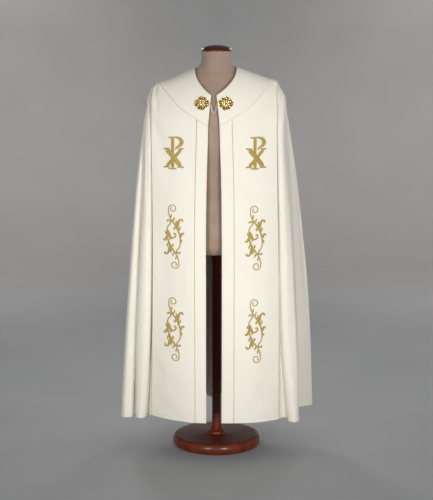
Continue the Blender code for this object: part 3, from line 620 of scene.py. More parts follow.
def besideSeam(row, ring, side):
    # the fold next to an outer seam is drawn in to it
    left, right, parted, *tucked = seamRings[ring]
    front = cope["bandColumns"] + cope["orphreyColumns"]
    seam = front if side < 0 else len(row) - 1 - front
    start = row[seam]
    chord = (row[seam - side * len(seamFolds[side])] - start) * (left if side < 0 else right)
    out = Vector((chord.y, -chord.x, 0)) * side
    high, low = cope["seamFoldTop"]
    for i, (along, rise) in enumerate(seamFolds[side]):
        old = row[seam - side * (i + 1)]
        if along < cope["tuckReach"] and rise < 0:
            rise = rise * tucked[side > 0]
        drawn = start + chord * along + out * rise
        share = limited((high - old.z) / (high - low)) * (1 - parted)
        row[seam - side * (i + 1)] = Vector((lerp(old.x, drawn.x, share), lerp(old.y, drawn.y, share), old.z))


def settled(points):
    # the cope leans to its left on the shoulders
    (shift, shiftZ, shiftOver), (lean, leanZ, leanOver) = cope["shift"], cope["lean"]
    leaning = np.clip((points[..., 2] - leanZ) / leanOver, 0, 1)
    shifted = np.clip((points[..., 2] - shiftZ) / shiftOver, 0, 1)
    return points + np.stack([shift * shifted, 0 * leaning, lean * points[..., 0] * leaning], axis=-1)


def ringGrid():
    points, places, starts, steps = hemPoints()
    columns = []
    for i, count in enumerate(steps):
        for k in range(count):
            t = k / count
            columns.append((lerp(places[i], places[i + 1], t), roundCurve(points, i, t),
                            lerp(starts[i], starts[i + 1], t)))
    grid = []
    for ring in range(len(frontRings)):
        left = [frontPoint(ring, share, -1) for share in frontShares(ring, -1)]
        right = [frontPoint(ring, share, 1) for share in frontShares(ring, 1)]
        body = [bodyPoint(ring, column) for column in columns[1:]]
        row = left + [frontPoint(ring, 1.0, -1)] + body + [frontPoint(ring, 1.0, 1)] + right[::-1]
        for side in (-1, 1):
            if ring in seamRings:
                besideSeam(row, ring, side)
        grid.append([tuple(point) for point in row])
    return settled(np.array(grid))


def smoothRun(points, cuts):
    # a round curve down the first axis; cuts holds the places to sample in each gap
    gaps = np.maximum(stepLengths(points), 1e-5)[..., None]
    slopes = np.diff(points, axis=0) / gaps
    lean = np.empty_like(points)
    lean[1:-1] = (slopes[:-1] * gaps[1:] + slopes[1:] * gaps[:-1]) / (gaps[:-1] + gaps[1:])
    lean[0], lean[-1] = slopes[0], slopes[-1]
    rows = []
    for i, places in enumerate(cuts):
        for t in places:
            first, last, out, back = curveShares(t)
            bend = points[i] * first + points[i + 1] * last
            rows.append(bend + (lean[i] * out + lean[i + 1] * back) * gaps[i])
    rows.append(points[-1])
    return np.array(rows)


def evenCuts(counts):
    return [[k / count for k in range(count)] for count in counts]


sampling = {"down": [8, 8, 8, 3, 4, 6, 7, 10, 14, 20, 22, 21], "frontStep": 0.0035, "body": 3,
            "hemRows": (0.0160, 0.0145, 0.0015), "hemRoom": 0.022}


def fineGrid():
    coarse = ringGrid()
    front = cope["bandColumns"] + cope["orphreyColumns"]
    total = coarse.shape[1] - 1
    columns, joins, at = [], {}, 0
    for name, first, last in (("left", 0, front), ("body", front, total - front), ("right", total - front, total)):
        part = coarse[:, first:last + 1].transpose(1, 0, 2)
        widths = stepLengths(part[:, 5:]).max(axis=1)
        if name == "body":
            counts = [sampling["body"]] * len(widths)
        else:
            counts = [max(2, round(width / sampling["frontStep"])) for width in widths]
            counts[-1 if name == "left" else 0] *= 2
        fine = smoothRun(part, evenCuts(counts))
        inner = sum(counts[:cope["bandColumns"]] if name == "left" else counts[:-cope["bandColumns"]])
        joins[name] = (at, at + inner, at + len(fine) - 1)
        at += len(fine) - 1
        columns.append(fine[:-1] if name != "right" else fine)
    across = np.concatenate(columns).transpose(1, 0, 2)
    down = evenCuts(sampling["down"])
    last = float(np.linalg.norm(across[-1, 0] - across[-2, 0]))
    down[-1] = [t for t in down[-1] if t < 1 - sampling["hemRoom"] / last] + [
        1 - d / last for d in sampling["hemRows"]]
    collarRow = sum(sampling["down"][:cope["collarRing"]])
    return smoothRun(across, down), joins, collarRow


def gridNormals(points):
    return unit(np.cross(np.gradient(points, axis=1), np.gradient(points, axis=0)))


# Soft creases of the fronts, as seen from the front: from, to, half-width, depth. A trough is below
# nought and a ridge above it.
frontCreases = [
    ((-0.250, 0.360), (-0.120, 0.215), 0.028, -0.0040),
    ((-0.215, 0.300), (-0.075, 0.160), 0.034, 0.0030),
    ((-0.262, 0.470), (-0.195, 0.300), 0.022, 0.0025),
    ((-0.240, 0.215), (-0.150, 0.150), 0.020, -0.0025),
    ((-0.235, 1.330), (-0.190, 1.120), 0.022, -0.0022),
    ((-0.130, 1.340), (-0.105, 1.150), 0.030, -0.0020),
    ((-0.215, 0.860), (-0.205, 0.560), 0.030, -0.0022),
    ((-0.100, 0.960), (-0.112, 0.620), 0.034, 0.0022),
    ((-0.060, 0.520), (-0.052, 0.230), 0.014, 0.0022),
    ((-0.066, 1.200), (-0.058, 0.900), 0.012, -0.0012),
    ((0.205, 1.400), (0.172, 1.210), 0.026, -0.0024),
    ((0.105, 1.330), (0.092, 1.110), 0.030, -0.0018),
    ((0.215, 0.930), (0.200, 0.560), 0.030, 0.0020),
    ((0.098, 0.760), (0.110, 0.420), 0.036, -0.0022),
    ((0.235, 0.400), (0.150, 0.190), 0.030, -0.0034),
    ((0.190, 0.330), (0.100, 0.160), 0.026, 0.0024),
    ((0.040, 0.560), (0.036, 0.200), 0.013, 0.0020),
    ((0.044, 1.150), (0.040, 0.860), 0.012, -0.0014),
    ((-0.238, 1.492), (-0.250, 1.470), 0.007, -0.0050),
    ((0.226, 1.500), (0.238, 1.490), 0.006, -0.0030),
    ((-0.246, 1.478), (-0.236, 1.395), 0.006, -0.0022),
    ((-0.258, 1.440), (-0.243, 1.350), 0.005, 0.0018),
    ((-0.250, 1.400), (-0.238, 1.300), 0.006, -0.0016),
    ((0.236, 1.470), (0.226, 1.390), 0.007, -0.0018),
    ((0.244, 1.430), (0.236, 1.330), 0.006, 0.0014),
]
# Soft creases of the body: place round it, top, foot, sideways lean, half-width, depth.
bodyCreases = [
    (0.045, 1.40, 0.95, 0.004, 0.007, -0.0030), (0.075, 1.20, 0.40, -0.006, 0.010, 0.0026),
    (0.118, 1.36, 1.02, 0.006, 0.008, -0.0028), (0.150, 0.90, 0.30, 0.005, 0.008, -0.0030),
    (0.185, 1.34, 0.88, -0.008, 0.009, 0.0030), (0.225, 0.72, 0.20, 0.006, 0.008, -0.0028),
    (0.262, 1.30, 0.98, 0.010, 0.008, -0.0026), (0.300, 0.95, 0.48, -0.006, 0.009, 0.0026),
    (0.342, 1.26, 0.90, -0.008, 0.010, -0.0034), (0.372, 0.60, 0.18, 0.006, 0.007, 0.0024),
    (0.410, 1.30, 1.05, 0.010, 0.012, 0.0030), (0.448, 1.05, 0.62, 0.008, 0.009, -0.0030),
    (0.480, 1.28, 0.92, -0.006, 0.010, -0.0034), (0.520, 0.78, 0.30, 0.006, 0.009, 0.0026),
    (0.552, 1.30, 1.00, -0.012, 0.012, 0.0032), (0.590, 1.02, 0.55, -0.006, 0.009, -0.0032),
    (0.628, 1.26, 0.95, 0.010, 0.009, -0.0030), (0.660, 0.66, 0.20, -0.006, 0.008, 0.0026),
    (0.702, 1.32, 0.92, 0.008, 0.009, 0.0028), (0.738, 0.96, 0.42, -0.006, 0.008, -0.0030),
    (0.775, 1.30, 1.05, -0.010, 0.008, -0.0026), (0.812, 0.70, 0.26, 0.006, 0.009, 0.0030),
    (0.850, 1.34, 0.85, -0.006, 0.008, 0.0028), (0.888, 1.10, 0.50, 0.005, 0.008, -0.0030),
    (0.925, 1.38, 0.98, -0.005, 0.007, -0.0024), (0.952, 0.80, 0.28, 0.004, 0.008, 0.0028),
]
# Corners of the shoulders, where the collar's edge stands over the seam: place, reach across and up,
# how far it is drawn out and up, and whether only beyond the seam.
shoulderCorners = [
    ((-0.242, 1.492), (0.048, 0.020), (-0.002, 0.010), False),
    ((-0.266, 1.455), (0.034, 0.032), (-0.009, 0.000), True),
    ((0.240, 1.512), (0.020, 0.018), (0.002, 0.006), False),
]


# Where creases fade out: columns beyond the outer seam for the fronts' creases and for a corner, share
# of the way round at the body's seams, share of a crease's length at its ends. In metres: a sunk
# valley's top and foot, and how deep a corner reaches.
fading = {"front": 7.0, "corner": 8.0, "body": 0.03, "frontEnds": 0.25, "bodyEnds": 0.35, "wave": 2.4,
          "sinkTop": 0.35, "sinkFoot": 0.08, "cornerDepth": 0.075}


def hollow(apart, width):
    return np.exp(-(apart / width) ** 2)


def crease(points, normals, joins):
    count = points.shape[1]
    index = np.arange(count)
    leftSeam, rightSeam = joins["body"][0], joins["body"][2]
    onLeft = index < count / 2
    outside = np.maximum(index - leftSeam, 0) * onLeft + np.maximum(rightSeam - index, 0) * ~onLeft
    onFront = np.clip(1 - outside / fading["front"], 0, 1)
    place = np.clip((index - leftSeam) / (rightSeam - leftSeam), 0, 1)
    inBody = np.clip(np.minimum(place, 1 - place) / fading["body"], 0, 1)
    moved = np.zeros(points.shape[:2])
    over = fading["frontEnds"]
    x, y, z = points.transpose(2, 0, 1)
    for (x0, z0), (x1, z1), width, depth in frontCreases:
        runX, runZ = x1 - x0, z1 - z0
        t = ((x - x0) * runX + (z - z0) * runZ) / (runX ** 2 + runZ ** 2)
        near = np.clip(t, 0, 1)
        apart = np.hypot(x - x0 - near * runX, z - z0 - near * runZ)
        ends = np.clip(np.minimum(t + over, 1 + over - t) / (2 * over), 0, 1)
        moved += depth * hollow(apart, width) * ease(ends) * onFront * (onLeft if x0 < 0 else ~onLeft)
    for at, top, foot, leaning, width, depth in bodyCreases:
        t = (top - z) / (top - foot)
        ends = np.clip(np.minimum(t, 1 - t) / fading["bodyEnds"], 0, 1)
        apart = place - (at + leaning * np.sin(t * fading["wave"]))
        moved += depth * hollow(apart, width) * ease(ends) * inBody
    points = points + normals * moved[..., None]
    x, y, z = points.transpose(2, 0, 1)
    for side, sunk in sinks.items():
        away = (index - leftSeam) if side < 0 else (rightSeam - index)
        for at, width, depth, top, foot in sunk:
            fade = np.clip((top - z) / fading["sinkTop"], 0, 1) * np.clip((z - foot) / fading["sinkFoot"], 0, 1)
            y += depth * hollow(away - at, width) * fade
    for (x0, z0), (across, up), (out, lift), beyondSeam in shoulderCorners:
        x, y, z = points.transpose(2, 0, 1)
        near = np.exp(-((x - x0) / across) ** 2 - ((z - z0) / up) ** 2 - (y / fading["cornerDepth"]) ** 2)
        near = near * (np.clip(outside / fading["corner"], 0, 1) if beyondSeam else 1)
        points = points + near[..., None] * (out, 0, lift)
    return points


grid, joins, collarRow = fineGrid()
grid = crease(grid, gridNormals(grid), joins)
normals = gridNormals(grid)
print("cope grid", grid.shape)


def fitOut(piece, node=None):
    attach(piece, "root")
    if node:
        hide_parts(node)


def newPiece(name, vertices, faces, uvs, material, node=None):
    data = bpy.data.meshes.new(name)
    data.from_pydata([tuple(v) for v in vertices], [], faces)
    corners = np.array(uvs, dtype=np.float32)[[v for face in faces for v in face]]
    data.uv_layers.new(name="cloth").data.foreach_set("uv", corners.ravel())
    data.materials.append(material)
    data.shade_smooth()
    data.update()
    piece = bpy.data.objects.new(name, data)
    bpy.context.scene.collection.objects.link(piece)
    fitOut(piece, node)
    return piece


def drawnBack(edge, inner, facing):
    # an edge moved back by half a seam's gap
    inward = unit(np.cross(facing, np.gradient(edge, axis=0)))
    apart = np.sum(inward * (inner - edge), axis=1, keepdims=True)
    return edge + inward * np.sign(apart) * np.minimum(cope["seamGap"] / 2, cope["edgeRoom"] * np.abs(apart))


def clothSheet(name, points, facing, low, high, material, drawn, node):
    # a thin wall over its share of the grid, with u across and v up from the hem in metres
    points, facing = points.copy(), facing.copy()
    for edge, inner in drawn:
        points[:, edge] = drawnBack(points[:, edge], points[:, inner], facing[:, edge])
        facing[:, edge] = facing[:, inner]
    rows, columns = points.shape[:2]
    u = runDown(points.transpose(1, 0, 2)).T
    v = runDown(points[::-1])[::-1]
    count = rows * columns
    vertices = np.concatenate([(points + facing * rise).reshape(-1, 3) for rise in (high, low)])
    uvs = np.concatenate([np.stack([u, v], axis=-1).reshape(-1, 2)] * 2)
    outer, inner = netFaces(rows, columns), netFaces(rows, columns, first=count, flipped=True)
    faces = [face for pair in zip(outer, inner) for face in pair]
    net = np.arange(count).reshape(rows, columns)
    rim = np.concatenate([net[0], net[1:, -1], net[-1, -2::-1], net[-2:0:-1, 0]]).tolist()
    faces += [(a, count + a, count + b, b) for a, b in zip(rim, rim[1:] + rim[:1])]
    return newPiece(name, vertices, faces, uvs, material, node)


orphreys = {}
cuts = [
    # node, part of the grid, first and last join there, finish, cut flat
    ("front_band_left", "left", 0, 1, "bandCloth", (0.048, 1.40)),
    ("orphrey_left", "left", 1, 2, "hemmedCloth", (0.235, 1.60)),
    ("cope_body", "body", 0, 2, "hemmedCloth", (2.80, 1.52)),
    ("orphrey_right", "right", 0, 1, "hemmedCloth", (0.235, 1.60)),
    ("front_band_right", "right", 1, 2, "bandCloth", (0.053, 1.40)),
]


def makeCope():
    end = grid.shape[1] - 1
    for node, part, start, stop, finish, flat in cuts:
        first, last = joins[part][start], joins[part][stop]
        points, facing = grid[:, first:last + 1], normals[:, first:last + 1]
        drawn = ([(0, 1)] if first > 0 else []) + ([(-1, -2)] if last < end else [])
        if last == end:     # its u also starts at the front edge
            points, facing, drawn = points[:, ::-1], facing[:, ::-1], [(-1, -2)]
        piece = clothSheet(node + "_cloth", points, facing, -cope["wall"], 0.0, finishes[finish], drawn, node)
        if last == end:
            piece.data.flip_normals()
        if part != "body":
            orphreys[node] = piece
    under, facing = grid[:collarRow + 1], normals[:collarRow + 1]
    piece = clothSheet("collar_cloth", under, facing, cope["seamGap"], cope["seamGap"] + cope["collarWall"],
                       finishes["hemmedCollar"], [], "collar")


makeCope()
print("cloth pieces made")

# ---- gold seam cords on both edges of each orphrey

cordSize = {"radius": 0.0010, "twist": 0.0062, "step": 0.0012, "sides": 8, "depth": 0.16, "proud": 0.35}


def evenPath(points, facing, step):
    run = runDown(points)
    places = np.linspace(0, run[-1], max(2, int(run[-1] / step)))
    path, lifted = [np.stack([np.interp(places, run, rows[:, k]) for k in range(3)], axis=1)
                    for rows in (points, facing)]
    return path, unit(lifted), places


def twistedCord(name, points, facing):
    # two threads twisted together: an oval section that turns as it goes
    sizes = cordSize
    path, lifted, places = evenPath(points, facing, sizes["step"])
    path = path + lifted * sizes["radius"] * sizes["proud"]
    aside = np.cross(unit(np.gradient(path, axis=0)), lifted)
    rows, sides = len(path), sizes["sides"]
    turns = 2 * np.pi * np.arange(sides) / sides
    spin = 2 * np.pi * places / sizes["twist"]
    radius = sizes["radius"] * (1 + sizes["depth"] * np.cos(2 * turns[None] - spin[:, None]))
    rings = path[:, None] + (np.cos(turns)[:, None] * aside[:, None]
                             + np.sin(turns)[:, None] * lifted[:, None]) * radius[..., None]
    uvs = np.stack(np.broadcast_arrays(turns[None] * sizes["radius"], places[:, None]), axis=-1)
    faces = netFaces(rows, sides, True, flipped=True)
    faces += [tuple(range(sides)), tuple(range(rows * sides - 1, (rows - 1) * sides - 1, -1))]
    newPiece(name, rings.reshape(-1, 3), faces, uvs.reshape(-1, 2), finishes["cord"])


def makeCords():
    # the inner cords start under the collar's edge, the outer ones where the cope leaves the shoulder
    for side, place, join in (("left", "inner", 1), ("left", "outer", 2), ("right", "outer", 0),
                              ("right", "inner", 1)):
        start, column = collarRow + (1 if place == "outer" else -1), joins[side][join]
        twistedCord(f"seam_cord_{side}_{place}", grid[start:, column], normals[start:, column])


makeCords()
print("seam cords made")

# ---- gold embroidery, drawn flat in millimetres and laid on the orphreys

frontTrees = {side: BVHTree.FromObject(orphreys["orphrey_" + side], bpy.context.evaluated_depsgraph_get())
              for side in ("left", "right")}
# in millimetres: how deep a stroke is sunk, its least width, how blunt its ends are, its padding, the
# spacing of its sections, and how much wider the scroll is stitched than drawn
stitches = {"sunk": 0.25, "thinnest": 0.25, "blunt": 0.16, "pad": 0.35, "padByWidth": 0.15, "letterStep": 1.6,
            "scrollStep": 1.8, "scrollWidth": 1.34, "innerWidth": 1.25, "scrollPad": 0.70, "leafPad": 0.03,
            "innerPad": 0.9}
satinSection = [(-1.0, 0.0), (-0.94, 0.74), (-0.60, 0.95), (0.0, 1.0), (0.60, 0.95), (0.94, 0.74), (1.0, 0.0)]


def onCloth(side, x, z):
    hit, facing, _, _ = frontTrees[side].ray_cast(Vector((x, -1.0, z)), Vector((0, 1, 0)))
    return np.array(hit), np.array(facing)


def strokePath(points, step):
    # a round curve through rows of x, height and width
    rows = np.array(points, dtype=float)
    gaps = np.hypot(np.diff(rows[:, 0]), np.diff(rows[:, 1]))
    cuts = evenCuts([max(1, round(gap / step)) for gap in gaps])
    return smoothRun(rows[:, None, :], cuts)[:, 0]


def satinStroke(shape, side, centre, points, step, height):
    # one padded line of satin stitches, nearly flat across, that follows the cloth and is sunk into
    # it a little at its edges
    path = strokePath(points, step)
    along = unit(np.gradient(path[:, :2], axis=0))
    run = runDown(path[:, :2]) / 1000
    first, count = len(shape["vertices"]), len(satinSection)
    for i, (x, z, width) in enumerate(path):
        half = max(width, stitches["thinnest"]) / 2
        short = 1 - min(run[i], run[-1] - run[i]) * 1000 / half      # above 0 where an end is rounded off
        half *= math.sqrt(max(1 - max(short, 0) ** 2, stitches["blunt"]))
        rise = (min(height, stitches["pad"] + width * stitches["padByWidth"]) + stitches["sunk"]) / 1000
        for across, up in satinSection:
            hit, facing = onCloth(side, centre[0] + (x + along[i, 1] * across * half) / 1000,
                                  centre[1] + (z - along[i, 0] * across * half) / 1000)
            shape["vertices"].append(hit + facing * (up * rise - stitches["sunk"] / 1000))
            shape["uvs"].append((across * half / 1000, run[i]))
    shape["faces"] += netFaces(len(path), count, True, first)
    last = first + (len(path) - 1) * count
    shape["faces"] += [tuple(range(first + count - 1, first - 1, -1)), tuple(range(last, last + count))]


def curl(x, z, radius, fromAngle, toAngle, closing, width, endWidth, count):
    # a spiral end: from its outside to its eye
    rows = []
    for i in range(count):
        t = i / (count - 1)
        angle = math.radians(lerp(fromAngle, toAngle, t))
        reach = radius * lerp(1.0, closing, t)
        rows.append((x + reach * math.cos(angle), z + reach * math.sin(angle), lerp(width, endWidth, t)))
    return rows


# Half of the scroll, in millimetres from its centre: x, height and width of the thread. The other
# half is the same, turned round.
scrollStem = curl(-4, 113, 17.5, 195, -250, 0.34, 3.2, 3.4, 15)[::-1] + [
    (-20, 96, 3.6), (-15, 80, 4.0), (-6, 64, 4.6), (5, 50, 5.8), (14, 36, 7.0), (21, 18, 5.4), (26, 0, 5.0),
    (27, -18, 4.2), (26, -33, 3.6), (20, -46, 3.6), (14, -53, 4.0), (12, -60, 4.8), (17, -66, 5.4), (24, -65, 5.4),
    (26, -59, 4.4)]
scrollLeaves = [
    # the pointed leaf and the large curl where the stem is thickest, the lobes, the side curl and the thorns
    [(16, 30, 4.0), (15, 44, 9.0), (12, 56, 6.6), (10.5, 68, 1.2)],
    [(15, 36, 4.0), (18, 50, 8.0), (21, 62, 6.6), (27, 70, 5.8), (35, 69, 5.8), (36, 61, 6.4)],
    [(13, 38, 3.0), (7, 38, 5.4), (3, 33, 6.0), (6, 28, 4.0)],
    [(19, 24, 3.0), (25, 33, 5.4), (27, 44, 1.4)],
    [(26, -3, 3.0), (31, 6, 6.4), (33, 14, 5.4), (39, 15, 5.2), (40, 9, 6.0)],
    [(27, -8, 2.6), (32, -14, 4.4), (33, -23, 1.2)],
    [(-13, 76, 2.6), (-9, 85, 4.8), (-9, 94, 1.2)],
    [(-4, 62, 2.6), (1, 70, 5.0), (5, 80, 1.2)],
]
# the leaf that curls inside, on one side only, and its tip
innerLeaf = [
    [(-25, 28, 3.0), (-21, 16, 9.0), (-16, 3, 10.0), (-11, -5, 8.0), (-3, -5, 5.6), (6, 0, 5.2), (9, 8, 5.0),
     (4, 13, 5.8), (0, 9, 4.4)],
    [(-15, 2, 5.0), (-14, -8, 4.6), (-13, -16, 1.2)],
]
chiRho = [
    # how high it is padded, and its line: the upright, its top and foot, the bowl, the two slanting
    # arms and the serifs at their ends
    (0.40, [(-1, 57, 13.6), (-1, 30, 13.4), (-1, -30, 13.0), (-1, -62, 14.4)]),
    (0.70, [(-21, 59.5, 3.4), (-9, 59.0, 7.4), (0, 58.5, 7.6), (4, 58.5, 6.0)]),
    (0.70, [(-19, -65.5, 3.4), (-9, -65.0, 7.0), (0, -65.0, 7.6), (8, -65.0, 7.0), (16, -65.5, 3.4)]),
    (0.62, [(0, 59.5, 6.4), (16, 59, 8.6), (29, 53.5, 13.8), (35, 41, 17.6), (29.5, 29, 13.8), (19.5, 22, 8.6),
            (12.5, 15, 7.6), (12.5, 9.5, 4.8)]),
    (1.10, [(33, 11, 13.2), (4.9, -22, 13.2), (-24, -55, 13.2)]),
    (1.65, [(-25, 11, 18.6), (4.9, -22, 18.6), (31, -55, 18.6)]),
    (1.90, [(-39, 14.5, 3.4), (-32, 14.0, 6.8), (-25, 13.5, 7.8), (-18, 14.0, 6.8), (-11, 14.5, 3.4)]),
    (1.35, [(20, 14.5, 3.4), (27, 14.0, 6.8), (33, 13.5, 7.8), (39, 14.0, 6.8), (46, 14.5, 3.4)]),
    (1.35, [(-39, -59.0, 3.4), (-32, -58.5, 6.8), (-25, -58.0, 7.8), (-18, -58.5, 6.8), (-12, -59.0, 3.4)]),
    (1.90, [(16, -59.0, 3.4), (24, -58.5, 6.8), (32, -58.0, 7.8), (39, -58.5, 6.8), (46, -59.0, 3.4)]),
]
motifs = [
    # name, drawing, side, middle x, middle height
    ("chi_rho_left", "chiRho", "left", -0.1745, 1.2350),
    ("chi_rho_right", "chiRho", "right", 0.1550, 1.2340),
    ("scroll_left_upper", "scroll", "left", -0.1725, 0.8960),
    ("scroll_left_lower", "scroll", "left", -0.1725, 0.5190),
    ("scroll_right_upper", "scroll", "right", 0.1570, 0.8920),
    ("scroll_right_lower", "scroll", "right", 0.1570, 0.5160),
]


def makeEmbroidery():
    wide, narrow = stitches["scrollWidth"], stitches["innerWidth"]
    scroll = [([(x * turn, z * turn, width * wide) for x, z, width in stroke],
               stitches["scrollPad"] + stitches["leafPad"] * i)
              for turn in (1, -1) for i, stroke in enumerate([scrollStem] + scrollLeaves)]
    scroll += [([(x, z, width * narrow) for x, z, width in stroke], stitches["innerPad"]) for stroke in innerLeaf]
    drawings = {"chiRho": ([(stroke, height) for height, stroke in chiRho], stitches["letterStep"]),
                "scroll": (scroll, stitches["scrollStep"])}
    for name, drawing, side, x, z in motifs:
        shape = {"vertices": [], "faces": [], "uvs": []}
        strokes, step = drawings[drawing]
        for stroke, height in strokes:
            satinStroke(shape, side, (x, z), stroke, step, height)
        newPiece("embroidery_" + name, shape["vertices"], shape["faces"], shape["uvs"], finishes["satin"])


makeEmbroidery()
print("embroidery made")

# ---- the clasp: two pierced knotwork medals and a chain

clasp = {"width": 0.061, "height": 0.0575, "thick": 0.0036, "offset": 0.0470, "z": 1.429,
         "turn": {-1: -6.0, 1: 5.0}, "wire": 0.0024, "lift": 0.0031, "eyeRadius": 0.0026, "linkWire": 0.0015,
         "linkLength": 0.0107, "linkWidth": 0.0076, "links": 11, "hammered": 0.94, "stone": 0.0044,
         "stoneLift": 0.62, "rim": 0.955, "plate": 0.42, "field": (0.0014, -0.0005), "knotPoints": 220,
         "knot": (0.47, 0.37)}
lobes = {"waist": 0.775, "bulge": 0.225, "roundness": 0.55}
medalBeads = [
    # how many, turned by this part of a step, share of the way out, level, radius
    (4, 0.5, 0.72, 0.76, 0.0028),
    (8, 0.5, 0.22, 0.92, 0.0013),
]


def surfaceFrame(x, z, side, lift):
    # a frame that lies on the front of the cope, from two short steps across and up
    step = 0.004
    here = Vector((x, frontDepth(x, z, side), z))
    right = Vector((x + step, frontDepth(x + step, z, side), z)) - here
    up = Vector((x, frontDepth(x, z + step, side), z + step)) - here
    out = right.cross(up).normalized()
    up = (up - out * up.dot(out)).normalized()
    turn = Matrix((up.cross(out), up, out)).transposed().to_4x4()
    return Matrix.Translation(here + out * lift) @ turn


def bentWire(name, path, radius, place, material):
    # a closed wire of round section
    data = bpy.data.curves.new(name, "CURVE")
    data.dimensions = "3D"
    data.bevel_depth = radius
    data.bevel_resolution = 3
    data.use_fill_caps = True
    spline = data.splines.new("POLY")
    spline.points.add(len(path) - 1)
    for point, where in zip(spline.points, path):
        point.co = (*where, 1)
    spline.use_cyclic_u = True
    piece = bpy.data.objects.new(name, data)
    bpy.context.scene.collection.objects.link(piece)
    piece.matrix_world = place
    piece.data.materials.append(material)
    makeActive(piece)
    bpy.ops.object.convert(target="MESH")
    piece = bpy.context.object
    settleMesh(piece)
    bpy.ops.object.shade_smooth()
    return piece


def placedCopy(model, name, place, node=None):
    # a copy with its own mesh, settled where it belongs
    piece = model.copy()
    piece.data = model.data.copy()
    piece.name = piece.data.name = name
    bpy.context.scene.collection.objects.link(piece)
    piece.matrix_world = place
    settleMesh(piece)
    if node:
        fitOut(piece, node)
    return piece


def selectPoints(piece, keep):
    # edit mode with only the points that keep() picks
    makeActive(piece)
    bpy.ops.object.mode_set(mode="EDIT")
    bpy.ops.mesh.select_mode(type="VERT")
    bpy.ops.mesh.select_all(action="DESELECT")
    bpy.ops.object.mode_set(mode="OBJECT")
    for vertex in piece.data.vertices:
        vertex.select = keep(vertex.co)
    bpy.ops.object.mode_set(mode="EDIT")


def beadModel(name, radius, material, segments=16, flat=0.7):
    # a round-topped bead: a ball cut through its middle and closed, then pressed a little flat
    deselectAll()
    bpy.ops.mesh.primitive_uv_sphere_add(segments=segments, ring_count=segments - 6, radius=radius)
    piece = bpy.context.object
    piece.name = piece.data.name = name
    editAll()
    bpy.ops.mesh.bisect(plane_co=(0, 0, -radius * 0.3), plane_no=(0, 0, 1), clear_inner=True, use_fill=True)
    selectAll()
    bpy.ops.transform.resize(value=(1, 1, flat))
    leaveEdit(60)
    piece.data.materials.append(material)
    return piece


def lobeReach(angle):
    return lobes["waist"] + lobes["bulge"] * abs(math.cos(2 * angle)) ** lobes["roundness"]


def knotPath(scale, spin, level, weave):
    # a line that winds four times over and under itself, drawn in the medal's own proportions
    turned = math.radians(spin)
    cos, sin = math.cos(turned), math.sin(turned)
    reach, loops = clasp["knot"]
    path = []
    for t in np.linspace(0, 2 * math.pi, clasp["knotPoints"], endpoint=False):
        x = reach * math.cos(t) + loops * math.cos(-3 * t)
        y = reach * math.sin(t) + loops * math.sin(-3 * t)
        x, y = x * cos - y * sin, x * sin + y * cos
        path.append((x * clasp["width"] / 2 * scale, y * clasp["height"] / 2 * scale,
                     clasp["thick"] * level + weave * math.sin(8 * t)))
    return path


def ringPath(radiusX, radiusY, level, count, shaped=False):
    path = []
    for angle in np.linspace(0, 2 * math.pi, count, endpoint=False):
        reach = lobeReach(angle) if shaped else 1
        path.append((math.cos(angle) * radiusX * reach, math.sin(angle) * radiusY * reach, clasp["thick"] * level))
    return path


def medalModel():
    wide, high, thick, rim = clasp["width"] / 2, clasp["height"] / 2, clasp["thick"], clasp["rim"]
    # back plate: a disc drawn out into four lobes, raised, with a sunk field inside its edge, its gilt painted near
    # black as shade in the hollows between the wires
    deselectAll()
    bpy.ops.mesh.primitive_circle_add(vertices=96, radius=1, fill_type="NGON")
    plate = bpy.context.object
    plate.name = "medal_model"
    for vertex in plate.data.vertices:
        angle = math.atan2(vertex.co.y, vertex.co.x)
        reach = lobeReach(angle) * rim
        vertex.co = Vector((math.cos(angle) * reach * wide, math.sin(angle) * reach * high, 0))
    editAll()
    bpy.ops.mesh.extrude_region_move(TRANSFORM_OT_translate={"value": (0, 0, thick * clasp["plate"])})
    bpy.ops.mesh.inset(thickness=clasp["field"][0], depth=clasp["field"][1])
    selectAll()
    bpy.ops.mesh.normals_make_consistent(inside=False)
    leaveEdit(40)
    plate.data.materials.append(finishes["giltPaintedShade"])
    wires = [(ringPath(wide * rim, high * rim, 0.52, 128, True), 0.60),
             (knotPath(1.0, 0, 0.78, 0.00055), 0.66), (knotPath(0.66, 45, 0.78, 0.0005), 0.56),
             (ringPath(0.0086, 0.0086, 0.86, 40), 0.44)]
    parts = [plate] + [bentWire("wire", path, clasp["wire"] * thickness, Matrix.Identity(4), finishes["gilt"])
                       for path, thickness in wires]
    # beads in the lobes, between them and round the middle
    for count, shift, reach, level, radius in medalBeads:
        model = beadModel("bead_model", radius, finishes["gilt"])
        for k in range(count):
            angle = (k + shift) * 2 * math.pi / count
            at = Vector((math.cos(angle) * wide * reach, math.sin(angle) * high * reach, thick * level))
            parts.append(placedCopy(model, "bead", Matrix.Translation(at)))
        bpy.data.objects.remove(model)
    deselectAll()
    for part in parts:
        part.select_set(True)
    bpy.context.view_layer.objects.active = plate
    bpy.ops.object.join()
    return bpy.context.object


def linkModel(halfLength, bend, wire, material):
    # a ring with one half drawn away from the other, and flattened a little where it was hammered
    deselectAll()
    bpy.ops.mesh.primitive_torus_add(major_radius=bend, minor_radius=wire / 2, major_segments=32, minor_segments=10)
    link = bpy.context.object
    link.name = link.data.name = "link_model"
    for side in (-1, 1):
        selectPoints(link, lambda co: co.x * side > 1e-7)
        bpy.ops.transform.translate(value=(side * halfLength, 0, 0))
        bpy.ops.object.mode_set(mode="OBJECT")
    selectPoints(link, lambda co: True)
    bpy.ops.transform.resize(value=(1, 1, clasp["hammered"]))
    bpy.ops.object.mode_set(mode="OBJECT")
    bpy.ops.object.shade_smooth()
    link.data.materials.append(material)
    return link


